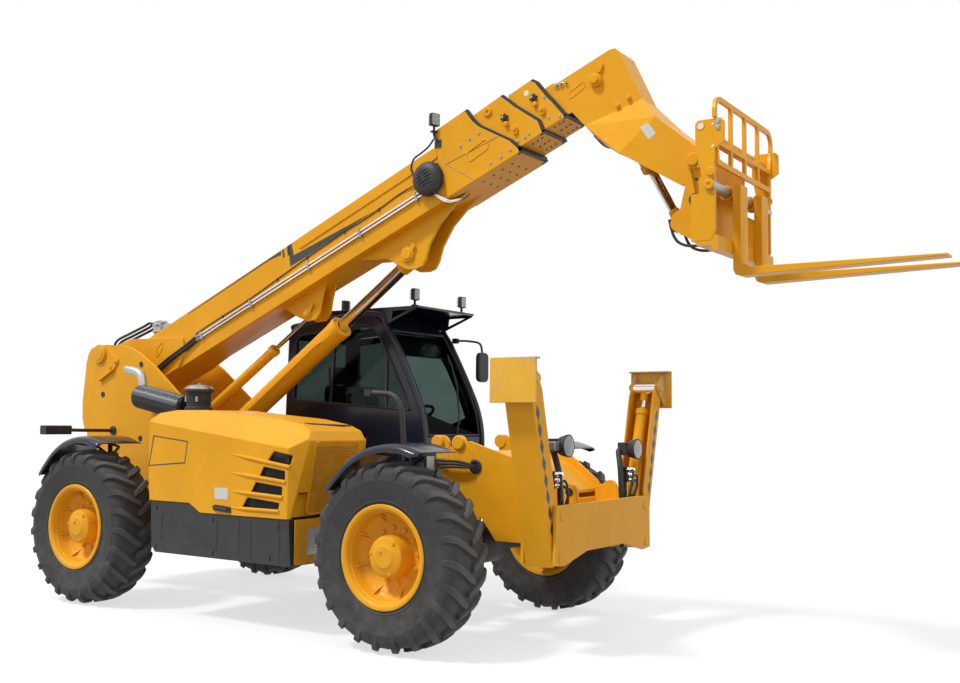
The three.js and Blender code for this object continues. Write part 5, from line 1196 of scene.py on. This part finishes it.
# ---------------------------------------------------------------- pipes, hoses and reel on the boom
# Two bright steel pipes in clips run along the right side, joined by hoses to the hinge end and led
# under the box into its belly. A thin cable runs above them from a sprung reel and lamp at the collar.
pipes = []
for k, v in enumerate((-0.270, -0.300)):
    out = 0.198
    pipes.append(tube(bent([(1.06, -out, v), (3.84 + 0.02 * k, -out, v), (3.93 + 0.02 * k, -out, -0.425),
        (3.96 + 0.02 * k, -0.175, -0.462), (4.02 + 0.02 * k, -0.09, -0.452),
        (4.05 + 0.02 * k, -0.04, -0.425)], 0.035, 6), 0.0095, 12))
piece("boom_pipes", boom(*pipes), CHROME, "boom_base", angle=60)
clips = []
for u in (1.09, 1.76, 2.49, 3.10, 3.72):
    clips += [block((u - 0.011, -0.212, -0.322), (u + 0.011, -0.184, -0.250)),
        block((u - 0.006, -0.217, -0.290), (u + 0.006, -0.184, -0.280))]
piece("boom_pipe_clips", boom(*clips), ZINC, "boom_base", 0.002)
# the opening where the pipes go into the belly is painted shade: a dark oval plate on the underside, no hole
t = np.linspace(0, 2 * np.pi, 40, endpoint=False)
mouth = plate(np.column_stack([4.035 + 0.075 * np.cos(t), -0.075 + 0.050 * np.sin(t)]), -0.4425, -0.438, "z")
piece("boom_belly_opening_painted_shade", boom(mouth), SATIN, "boom_base", 0.001)
hoses, ends = [], []
for k, v in enumerate((-0.270, -0.300)):
    hoses.append(tube(flowing([(0.02, -0.222, -0.392 - 0.03 * k), (0.26, -0.224, -0.372 - 0.03 * k),
        (0.48, -0.224, -0.334 - 0.03 * k), (0.67, -0.222, -0.312 - 0.026 * k),
        (0.86, -0.206, -0.292 - 0.026 * k), (1.02, -0.199, v)], 8), 0.0155, 14))
    ends.append(turned([(0.0, 0.0), (0.0, 0.016), (0.022, 0.016), (0.022, 0.0125), (0.055, 0.0125),
        (0.055, 0.0)], (1.012, -0.199, v), (1, 0, 0), 6))
piece("boom_side_hoses", boom(*hoses), HOSE, "boom_base", angle=60)
piece("boom_hose_ends", boom(*ends), ZINC, "boom_base")
cable_line = [(0.90, -0.212, -0.302), (0.982, -0.200, -0.280), (1.02, -0.190, -0.240),
    (1.10, -0.190, -0.234), (1.392, -0.190, -0.233), (1.74, -0.190, -0.236), (2.10, -0.190, -0.222),
    (2.497, -0.190, -0.203), (2.72, -0.190, -0.198), (2.948, -0.190, -0.192), (3.15, -0.190, -0.196),
    (3.342, -0.190, -0.192), (3.60, -0.190, -0.180), (3.80, -0.200, -0.200)]
cables = [tube(flowing(cable_line, 6), 0.0045, 8), tube(flowing([(4.045, -0.196, 0.060),
    (3.965, -0.193, 0.028), (3.88, -0.190, 0.020), (3.803, -0.192, 0.010), (3.757, -0.200, -0.060),
    (3.775, -0.215, -0.150)], 6), 0.0075, 10)]
piece("boom_cables", boom(*cables), HOSE, "boom_base", angle=60)
ties = [block((u - 0.004, -0.1965, v - 0.022), (u + 0.004, -0.185, v + 0.008)) for u,
    v in ((1.392, -0.233), (1.74, -0.236), (2.12, -0.221), (2.497, -0.203), (2.948, -0.192),
    (3.342, -0.192))]
piece("boom_cable_ties", boom(*ties), SATIN, "boom_base", 0.001)
reel = [(0.0, 0.0), (0.0, 0.112), (0.010, 0.128), (0.022, 0.136), (0.026, 0.131), (0.034, 0.131),
    (0.038, 0.136), (0.050, 0.136), (0.066, 0.130), (0.084, 0.112), (0.096, 0.085), (0.102, 0.05),
    (0.102, 0.024), (0.108, 0.022), (0.108, 0.0)]
case = turned(reel, (3.890, -0.185, -0.225), (0, -1, 0), 56)
ribs = []
for k in range(-4, 5):
    w = 0.026 * k
    x = np.linspace(-1, 1, 15) * math.sqrt(0.126**2 - w**2) * 0.97
    high = 0.104 - 0.052 * np.clip((np.hypot(x, w) - 0.03) / 0.10, 0, 1) ** 2.2
    ribs.append(tube(np.column_stack([3.890 + x, -0.185 - high, np.full(15, -0.225 + w)]), 0.006, 8))
piece("cable_reel", boom(case, *ribs), SATIN, "boom_base", angle=50)
fittings = studs([(3.890 + 0.132 * math.cos(a), -0.222, -0.225 + 0.132 * math.sin(a))
    for a in (0.5, 2.1, 3.7, 5.3)], (0, -1, 0), 0.010, 0.014)
piece("cable_reel_screws", boom(fittings), SATIN, "boom_base")
work_lamp("boom_lamp", (2.925, -0.215, 3.800), -20, "boom_base")
post = tube(bent([(2.955, -0.198, 3.700), (2.955, -0.215, 3.730), (2.925, -0.215, 3.770),
    (2.925, -0.215, 3.806)], 0.03), 0.010)
piece("boom_lamp_bracket", joined(post, block((2.925, -0.206, 3.675), (2.985, -0.196, 3.735))), SATIN,
    "boom_base", angle=50)
top_pipe = [tube(bent([(0.66, 0.10, -0.004), (0.70, 0.10, 0.040), (3.80, 0.10, 0.040),
    (3.86, 0.10, -0.004)], 0.04), 0.014, 14)]
top_pipe += [block((u - 0.014, 0.082, -0.002), (u + 0.014, 0.118, 0.062)) for u in (1.35, 2.14, 2.94, 3.55)]
piece("boom_top_pipe", boom(*top_pipe), YELLOW, "boom_base", 0.002, 50)

# ---------------------------------------------------------------- valve block and hoses at the hinge
# A machined valve block stands on the boom's top near the hinge; its hoses loop back over the hinge
# and down between the tower's plates, so both ends ride the boom and nothing is stretched.
valve = [block((0.43, -0.135, 0.012), (0.53, -0.030, 0.135)), block((0.505, -0.120, 0.012),
    (0.600, -0.045, 0.075)), block((0.415, -0.110, 0.135), (0.470, -0.055, 0.160))]
valve += [turned([(0.0, 0.0), (0.0, 0.016), (0.030, 0.016), (0.034, 0.012), (0.034, 0.0)], (u, y, v), way,
    6) for u, y, v, way in ((0.53, -0.085, 0.110, (1, 0, 0)), (0.600, -0.082, 0.045, (1, 0, 0)),
    (0.46, -0.135, 0.045, (0, -1, 0)), (0.50, -0.135, 0.100, (0, -1, 0)), (0.43, -0.10, 0.05, (-1, 0, 0)),
    (0.415, -0.082, 0.146, (-1, 0, 0)))]
piece("boom_valve_block", boom(*valve), STEEL, "boom_base", 0.002)
loops = []
for k in range(3):
    y = -0.120 + 0.034 * k
    loops.append(tube(flowing([(0.43, y, 0.140 - 0.03 * k), (0.38, y, 0.172 - 0.02 * k),
        (0.30, y, 0.176 - 0.02 * k), (0.08, y, 0.198 - 0.02 * k), (-0.10, y, 0.214 - 0.02 * k),
        (-0.17, y, 0.170 - 0.02 * k), (-0.19, y, 0.060)], 8), 0.0125, 12))
piece("boom_hinge_hoses", boom(*loops), HOSE, "boom_base", angle=60)

# ---------------------------------------------------------------- cylinders
# Welded steel barrels in the machine's yellow with a turned gland ring, hard-chromed rods, and eyes
# on their pins. A feed pipe runs along the lift barrel in clips.
for cad in ("lift_barrel", "levelling_barrel", "tilt_barrel", "stabiliser_barrel_left",
        "stabiliser_barrel_right"):
    welded(cad, YELLOW, 0.003, 30)
for cad in ("lift_rod", "levelling_rod", "tilt_rod", "stabiliser_rod_left", "stabiliser_rod_right"):
    welded(cad, CHROME, 0.0, 30)


def in_boom(u, y, v):
    return boom((np.array([(u, y, v)]), []))[0][0]


STAB_TOP = {name: np.array([4.190, side * 0.932, 1.812]) for name, side in SIDES.items()}
RAMS = {"lift": (np.array([-0.350, 0, 0.820]), in_boom(3.420, 0, -0.630), 2.650, 0.092, 0.052, 0.070),
        "levelling": (np.array([-0.484, 0, 1.155]), in_boom(2.240, 0, -0.595), 1.840, 0.045, 0.020, 0.035),
        "tilt": (in_boom(5.420, 0, -0.243), np.array([4.903, 0, 2.904]), 0.773, 0.055, 0.032, 0.052)}
for name, side in SIDES.items():
    RAMS["stabiliser_" + name] = (np.array([4.190, side * 0.630, 0.930]), STAB_TOP[name], 0.760, 0.044,
        0.024, 0.042)
for name, (foot, eye, barrel, fat, thin, ear) in RAMS.items():
    way = (eye - foot) / np.linalg.norm(eye - foot)
    side = name.rpartition("_")[2]
    barrel_node = f"stabiliser_barrel_{side}" if name.startswith("stab") else f"{name}_barrel"
    rod_node = f"stabiliser_rod_{side}" if name.startswith("stab") else f"{name}_rod"
    barrel_body, rod_body = frame["nodes"][barrel_node]["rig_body"], frame["nodes"][rod_node]["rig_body"]
    gland = [(barrel - 0.9 * fat, fat - 0.002), (barrel - 0.9 * fat, fat + 0.004),
        (barrel - 0.1 * fat, fat + 0.004), (barrel, fat - 0.002), (barrel, thin + 0.004),
        (barrel + 0.006, thin + 0.004), (barrel + 0.006, thin + 0.001), (barrel - 0.01, thin + 0.001)]
    piece(f"{name}_gland_ring", turned(gland, foot, way, 48, closed=True), YELLOW, barrel_body,
        0.001)
    tip = [(-2.4 * ear, thin + 0.0005), (-2.4 * ear, thin * 1.22), (-1.6 * ear, thin * 1.32),
        (-0.98 * ear, thin * 1.32), (-0.98 * ear, thin + 0.0005)]
    piece(f"{name}_rod_socket", turned(tip, eye, way, 40, closed=True), YELLOW, rod_body,
        0.001)
    pin_way = (1, 0, 0) if name.startswith("stab") else (0, 1, 0)
    wide = {"lift": 0.0755, "levelling": 0.0555, "tilt": 0.0625}.get(name, 0.050)
    eye_ring = [(-wide, ear * 0.62), (-wide, ear + 0.0005), (wide, ear + 0.0005), (wide, ear * 0.62)]
    if not name.startswith("stab"):
        piece(f"{name}_rod_eye", turned(eye_ring, eye, pin_way, 40, closed=True), YELLOW, rod_body,
            0.001)

lift_foot, lift_eye = RAMS["lift"][:2]
way = (lift_eye - lift_foot) / np.linalg.norm(lift_eye - lift_foot)
down = np.array([way[2], 0, -way[0]])
feed = [lift_foot + way * s + down * 0.02 + (0, y, 0) for s, y in ((0.22, -0.085), (0.26, -0.104),
    (2.40, -0.104), (2.46, -0.085))]
feed_clips = [turned([(-0.012, 0.0925), (-0.012, 0.0955), (0.012, 0.0955), (0.012, 0.0925)],
    lift_foot + way * s, way, 40, closed=True) for s in (0.7, 1.4, 2.1)]
piece("lift_feed_pipe", joined(tube(bent(feed, 0.02), 0.010, 12), *feed_clips), YELLOW,
    frame["nodes"]["lift_barrel"]["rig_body"], angle=50)

# the pins' heads in the brackets under the boom
for name, (u, v, face, radius) in {"lift": (3.420, -0.630, 0.122, 0.046),
        "levelling": (2.240, -0.595, 0.097, 0.030)}.items():
    for side_name, side in SIDES.items():
        head = turned([(-0.002, 0.0), (-0.002, radius), (0.006, radius), (0.010, radius - 0.006),
            (0.010, 0.0)], (u, side * face, v), (0, side, 0), 32)
        keeper = plate(round_outline([(u + 0.02, v + 0.020), (u + 0.085, v + 0.060), (u + 0.105, v + 0.030),
            (u + 0.035, v - 0.020)], 0.010), side * (face - 0.004), side * (face + 0.003))
        piece(f"{name}_pin_head_{side_name}", boom(head, keeper), YELLOW, "boom_base", 0.001)

# ---------------------------------------------------------------- boom head
# The deep head carries the tilt cylinder's pin, held by a keeper on one bolt. It has a pressed slot,
# four stop bolts, small hose fittings at its rear corner, and a blank plate on the neck.
for name, side in SIDES.items():
    face = side * 0.118
    pin = turned([(0.0, 0.0), (0.0, 0.050), (0.018, 0.050), (0.020, 0.036), (0.044, 0.034), (0.048, 0.028),
        (0.048, 0.0)], (5.42, face, -0.243), (0, side, 0), 36)
    keeper = plate(round_outline([(5.445, -0.175), (5.500, -0.140), (5.520, -0.165), (5.470, -0.215)],
        0.014), face, face + side * 0.020)
    stops = [turned([(0.0, 0.0), (0.0, 0.017), (0.028, 0.017), (0.030, 0.012), (0.030, 0.0)], (u, face, v),
        (0, side, 0), 18) for u, v in ((5.595, -0.500), (5.498, -0.508))]
    ring_line = round_outline([(5.180, -0.255), (5.325, -0.238), (5.332, -0.192), (5.187, -0.208)], 0.022, 7)
    ring = np.column_stack([ring_line[:, 0], np.full(len(ring_line), face), ring_line[:, 1]])
    piece(f"head_pin_and_keeper_{name}", boom(pin, keeper, *stops, tube(np.concatenate([ring, ring[:1]]),
        0.0045, 8)), YELLOW, "boom_head", 0.0015)
    plugs = [turned([(0.0, 0.0), (0.0, 0.008), (0.014, 0.008), (0.014, 0.011), (0.022, 0.011),
        (0.022, 0.0)], (u, face, v), (0, side, 0), 12) for u, v in ((5.128, -0.100), (5.160, -0.112),
        (5.202, -0.125))]
    piece(f"head_fittings_{name}", boom(*plugs, tube(flowing([(5.10, face + side * 0.012, -0.104),
        (5.16, face + side * 0.016, -0.110), (5.21, face + side * 0.012, -0.128)], 5), 0.005, 8)), ZINC,
        "boom_head")
    label = plate(round_outline([(5.628, -0.800), (5.690, -0.800), (5.716, -0.900), (5.650, -0.915)],
        0.008), side * 0.2500, side * 0.2512)
    piece(f"head_blank_plate_{name}", boom(label), PLATE, "boom_head")
    gusset = plate([(5.080, -0.140), (5.166, -0.3515), (5.080, -0.3515)], side * 0.1075, side * 0.1185)
    piece(f"head_rear_gusset_{name}", boom(gusset), YELLOW, "boom_head")
front_hoses = []
for y in (-0.105, 0.105):
    front_hoses.append(tube(flowing([in_boom(5.25, y, -0.60), in_boom(5.30, y, -0.72),
        in_boom(5.40, y, -0.80), in_boom(5.52, y, -0.92), in_boom(5.60, y, -1.10)], 6), 0.012, 10))
piece("head_hoses", joined(*front_hoses), HOSE, "boom_head", angle=60)

# ---------------------------------------------------------------- fork carriage
# Two profiled side plates on cross members and a hinge bracket, carrying a shaft for the forks; the
# hinge pin and shaft have round ends with keepers, and the backrest is a bent-bar guard bolted on.
for cad, radius in (("carriage", 0.0), ("backrest", 0.0), ("fork_left", 0.004), ("fork_right", 0.004)):
    welded(cad, YELLOW, radius)
welded("fork_shaft", STEEL, 0.002)
for name, side in SIDES.items():
    face = side * 0.530
    shaft_end = turned([(0.0, 0.0), (0.0, 0.033), (0.010, 0.033), (0.014, 0.028), (0.014, 0.012),
        (0.006, 0.010), (0.006, 0.0)], (5.318, side * 0.542, 3.040), (0, side, 0), 32)
    clamp = plate(round_outline([(5.300, 3.075), (5.345, 3.075), (5.352, 3.165), (5.338, 3.195),
        (5.308, 3.195), (5.296, 3.165)], 0.014), face, face + side * 0.007)
    lock = turned([(0.0, 0.0), (0.0, 0.030), (0.016, 0.030), (0.020, 0.025), (0.020, 0.0)],
        (5.328, face, 3.121), (0, side, 0), 28)
    lip = turned([(0.0, 0.021), (0.0, 0.030), (0.003, 0.030), (0.003, 0.021)], (5.258, face, 3.425),
        (0, side, 0), 28, closed=True)
    piece(f"carriage_shaft_keeper_{name}", joined(shaft_end, clamp, lock, lip), YELLOW, "fork_carriage",
        0.0015)
    # a pale disc in each side plate paints the light seen through its hole; there is no hole
    piece(f"carriage_hole_painted_light_{name}", turned([(0.0, 0.0), (0.0, 0.021), (0.0015, 0.021), (0.0015, 0.0)],
        (5.258, face, 3.425), (0, side, 0), 24), PALE, "fork_carriage")
    bolts = studs([(5.372, face, 3.440), (5.372, face, 3.404)], (0, side, 0), 0.015, 0.012)
    hinge = turned([(0.0, 0.0), (0.0, 0.044), (0.014, 0.044), (0.018, 0.038), (0.018, 0.0)],
        (5.125, side * 0.330, 3.268), (0, side, 0), 32)
    strap = plate(round_outline([(5.110, 3.300), (5.150, 3.345), (5.185, 3.330), (5.190, 3.270),
        (5.185, 3.215), (5.150, 3.205), (5.165, 3.268), (5.140, 3.300)], 0.01), side * 0.330, side * 0.338)
    piece(f"carriage_hinge_keeper_{name}", joined(hinge, strap), YELLOW, "fork_carriage",
        0.0015)
    small = studs([(5.172, side * 0.338, 3.235), (5.172, side * 0.338, 3.310)], (0, side, 0), 0.009, 0.008)
    piece(f"carriage_bolts_{name}", joined(bolts, small), ZINC, "fork_carriage")
    # two dark discs on each side plate paint the shade inside its holes
    hole_shades = [turned([(0.0, 0.0), (0.0, r), (0.0015, r), (0.0015, 0.0)], (x, side * 0.300, z), (0, side, 0),
        24) for x, z, r in ((5.135, 3.141, 0.013), (5.120, 3.010, 0.040))]
    piece(f"carriage_painted_hole_shade_{name}", joined(*hole_shades), SATIN, "fork_carriage")
    guard_bolts = studs([(5.340, side * 0.520, 3.42), (5.340, side * 0.520, 3.28)], (-1, 0, 0), 0.012, 0.010)
    piece(f"backrest_bolts_{name}", guard_bolts, ZINC, frame["nodes"]["backrest"]["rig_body"])
clevis_hoses = [tube(flowing([(4.86, y, 2.93), (4.89, y, 2.82), (4.94, y, 2.76), (5.03, y, 2.735),
    (5.16, y, 2.745)], 7), 0.010, 10) for y in (-0.115, 0.115)]
piece("carriage_hoses", joined(*clevis_hoses), HOSE, "fork_carriage", angle=60)

# ---------------------------------------------------------------- front beam, legs and pads
# A boxed beam welded across the nose carries a leg at each end on round pins. Dark warning diamonds
# run down each leg; the pads' soles are scraped to bright steel.
welded("front_beam", YELLOW, 0.005)
SCRAPED = finish("scraped enamel", (0.80, 0.42, 0.020), (0.30, 0.31, 0.29), coat=0.1, tone=0.08,
    edge_wear=1.0, edge_width=0.02, dust_amount=0.3, gloss=0.42, grain=260.0, bump=0.2)
scraped_tree = SCRAPED.node_tree
place = node(scraped_tree, "TexCoord").outputs["Object"]
stretched = node(scraped_tree, "Mapping", None, Vector=place, Scale=(30, 9, 5)).outputs[0]
marks = node(scraped_tree, "TexNoise", None, Vector=stretched, Scale=1.0, Detail=7.0,
    Roughness=0.7).outputs[0]
bare = node(scraped_tree, "MapRange", None, i0=marks, i1=0.555, i2=0.60, i3=0.0, i4=0.8).outputs[0]
scraped_shader = scraped_tree.nodes["Principled BSDF"]
under_paint = scraped_shader.inputs["Base Color"].links[0].from_socket
shown = node(scraped_tree, "Mix", {"data_type": "RGBA"}, i0=bare, i6=under_paint,
    i7=(0.33, 0.34, 0.31, 1)).outputs[2]
scraped_tree.links.new(shown, scraped_shader.inputs["Base Color"])
LEAN = math.radians(14)
for name, side in SIDES.items():
    leg_body = frame["nodes"][f"stabiliser_leg_{name}"]["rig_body"]
    welded(f"stabiliser_leg_{name}", YELLOW, 0.003)
    welded(f"stabiliser_pad_{name}", SCRAPED, 0.004)
    up = np.array([0, side * math.sin(LEAN), math.cos(LEAN)])
    out = np.array([0, side * math.cos(LEAN), -math.sin(LEAN)])
    base = np.array([4.190, side * 0.650, 0.660])
    shapes = []
    for k in range(8):
        w = 0.19 + 0.112 * k
        for face, way in ((0.1052, 1), (-0.1052, -1)):
            corner = [(w - 0.055, 0.0), (w, 0.024), (w + 0.055, 0.0), (w, -0.024)]
            points = [base + up * cw + out * (0.018 + co) + (face + way * thick, 0, 0)
                for thick in (0.0, 0.0012) for cw, co in corner]
            shapes.append(four_sided(points))
    piece(f"leg_diamonds_{name}", joined(*shapes), DARK_LINE, leg_body)
    pins = [turned([(-0.001, 0.0), (-0.001, 0.034), (0.004, 0.034), (0.007, 0.030), (0.007, 0.0)],
        (4.325, side * y, z), (1, 0, 0), 36) for y, z in ((0.650, 0.660), (0.630, 0.930))]
    piece(f"beam_pins_{name}", joined(*pins), YELLOW, "chassis", 0.001)
    pad_pin = turned([(-0.135, 0.0), (-0.135, 0.022), (0.135, 0.022), (0.135, 0.0)],
        (4.190, side * 0.940, 1.824), (1, 0, 0), 28)
    piece(f"pad_pin_{name}", pad_pin, STEEL, leg_body, 0.001)
    # a dark disc on each nose lug paints the shade inside its pin hole
    lug_hole_shade = turned([(0.0, 0.0), (0.0, 0.028), (0.005, 0.028), (0.005, 0.0)], (4.200, side * 0.315, 1.065),
        (0, side, 0), 28)
    piece(f"nose_lug_hole_painted_shade_{name}", lug_hole_shade, SATIN, "chassis")

# the nose: bosses and their plates on its top edge, and fittings whose hoses lead into a grommet
for name, side in SIDES.items():
    face = side * 0.430
    bosses = [turned([(-0.03, 0.0), (-0.03, 0.052), (0.020, 0.052), (0.026, 0.045), (0.026, 0.0)],
        (x, face, z), (0, side, 0), 32) for x, z in ((3.165, 1.390), (3.350, 1.390))]
    ear = [(3.298, 1.24), (3.300, 1.405), (3.318, 1.431), (3.350, 1.443), (3.385, 1.430), (3.412, 1.395),
        (3.470, 1.330), (3.470, 1.24)]
    bosses += [plate(outline, face - side * 0.022, face + side * 0.003)
        for outline in ([(x - 0.15, z) for x, z in ear[:6]] + [(3.255, 1.24)], ear)]
    piece(f"nose_bosses_{name}", joined(*bosses), YELLOW, "chassis", 0.002)
    grommet = turned([(0.0, 0.0), (0.0, 0.050), (0.008, 0.052), (0.014, 0.046), (0.014, 0.034),
        (0.004, 0.030), (0.004, 0.0)], (3.497, face, 1.222), (0, side, 0), 36)
    piece(f"nose_grommet_{name}", grommet, HOSE, "chassis", angle=50)
    nuts = [turned([(0.0, 0.0), (0.0, 0.015), (0.020, 0.015), (0.020, 0.011), (0.045, 0.011), (0.045, 0.0)],
        (x, face, z), (0, side, 0), 6) for x, z in ((3.16, 1.262), (3.19, 1.238), (3.165, 1.212),
        (3.215, 1.266))]
    reach = sorted((face + side * 0.026, face + side * 0.062))
    nuts.append(block((3.105, reach[0], 1.190), (3.172, reach[1], 1.286)))
    piece(f"nose_fittings_{name}", joined(*nuts), ZINC, "chassis", 0.0008)
    lines = [tube(flowing([(3.17 + 0.02 * k, face + side * 0.045, 1.262 - 0.025 * k),
        (3.26, face + side * 0.055, 1.258 - 0.022 * k), (3.38, face + side * 0.055, 1.256 - 0.020 * k),
        (3.46, face + side * 0.045, 1.240 - 0.012 * k), (3.495, face + side * 0.025, 1.225)], 6), 0.010, 10)
        for k in range(3)]
    piece(f"nose_hoses_{name}", joined(*lines), HOSE, "chassis", angle=60)

# ---------------------------------------------------------------- headlights and valve block
# A round headlight on a rubber-sheathed post stands at each end of the beam behind its front plate.
# A small valve block with bright fittings and hoses stands beside each.
for name, side, y, z in (("right", -1, -0.493, 1.385), ("left", 1, 0.569, 1.349)):
    foot = side * 0.460
    post = tube(bent([(4.215, foot, 0.96), (4.205, foot, 1.20), (4.160, (foot + y) / 2, z - 0.02),
        (4.165, y - side * 0.03, z)], 0.09, 8), 0.022, 14)
    arm = [block((4.150, y - 0.050, z - 0.048), (4.225, y + 0.050, z + 0.048)),
        tube([(4.215, foot, 0.62), (4.215, foot, 1.0)], 0.018, 14)]
    piece(f"headlight_post_{name}", joined(post, *arm), HOSE, "chassis", 0.004, 50)
    shell = turned([(-0.075, 0.0), (-0.075, 0.040), (-0.055, 0.062), (-0.010, 0.076), (0.006, 0.078),
        (0.008, 0.072), (0.004, 0.070), (0.002, 0.0)], (4.290, y, z), (1, 0, 0.02), 40)
    piece(f"headlight_shell_{name}", shell, SATIN, "chassis", angle=40)
    glass = [(0.001, 0.0), (0.001, 0.070), (0.007, 0.069), (0.013, 0.050), (0.016, 0.025), (0.017, 0.0)]
    piece(f"headlight_lens_{name}", turned(glass, (4.290, y, z), (1, 0, 0.02), 40), LENS, "chassis",
        angle=50)
    marker = block((4.200, y + side * 0.055, z - 0.030), (4.262, y + side * 0.135, z + 0.030))
    piece(f"side_lamp_{name}", marker, LENS, "chassis", 0.008, 32, 3)
    block_y = side * 0.545
    body = [block((4.165, block_y - 0.040, 1.100), (4.235, block_y + 0.040, 1.215)),
        block((4.180, block_y - 0.015, 0.90), (4.210, block_y + 0.015, 1.100))]
    piece(f"beam_valve_block_{name}", joined(*body), SATIN, "chassis", 0.003)
    nuts = [turned([(0.0, 0.0), (0.0, 0.017), (0.018, 0.017), (0.020, 0.012), (0.034, 0.012), (0.034, 0.0)],
        (4.235, block_y + dy, zz), (1, 0, 0), 6) for dy in (-0.022, 0.022) for zz in (1.120, 1.158, 1.196)]
    piece(f"beam_valve_fittings_{name}", joined(*nuts), CHROME, "chassis", 0.0008)
    lines = [tube(flowing([(4.262, block_y + dy, zz), (4.285, block_y + dy * 1.6, zz - 0.02),
        (4.280, block_y + dy * 2.2 - side * 0.02, 1.05), (4.250, block_y + dy - side * 0.03 * k, 0.93),
        (4.245, block_y + dy - side * 0.03 * k, 0.80)], 6), 0.0085, 10) for k,
        (dy, zz) in enumerate(((-0.022, 1.120), (0.022, 1.158), (-0.022, 1.196), (0.022, 1.120)))]
    piece(f"beam_valve_hoses_{name}", joined(*lines), HOSE, "chassis", angle=60)
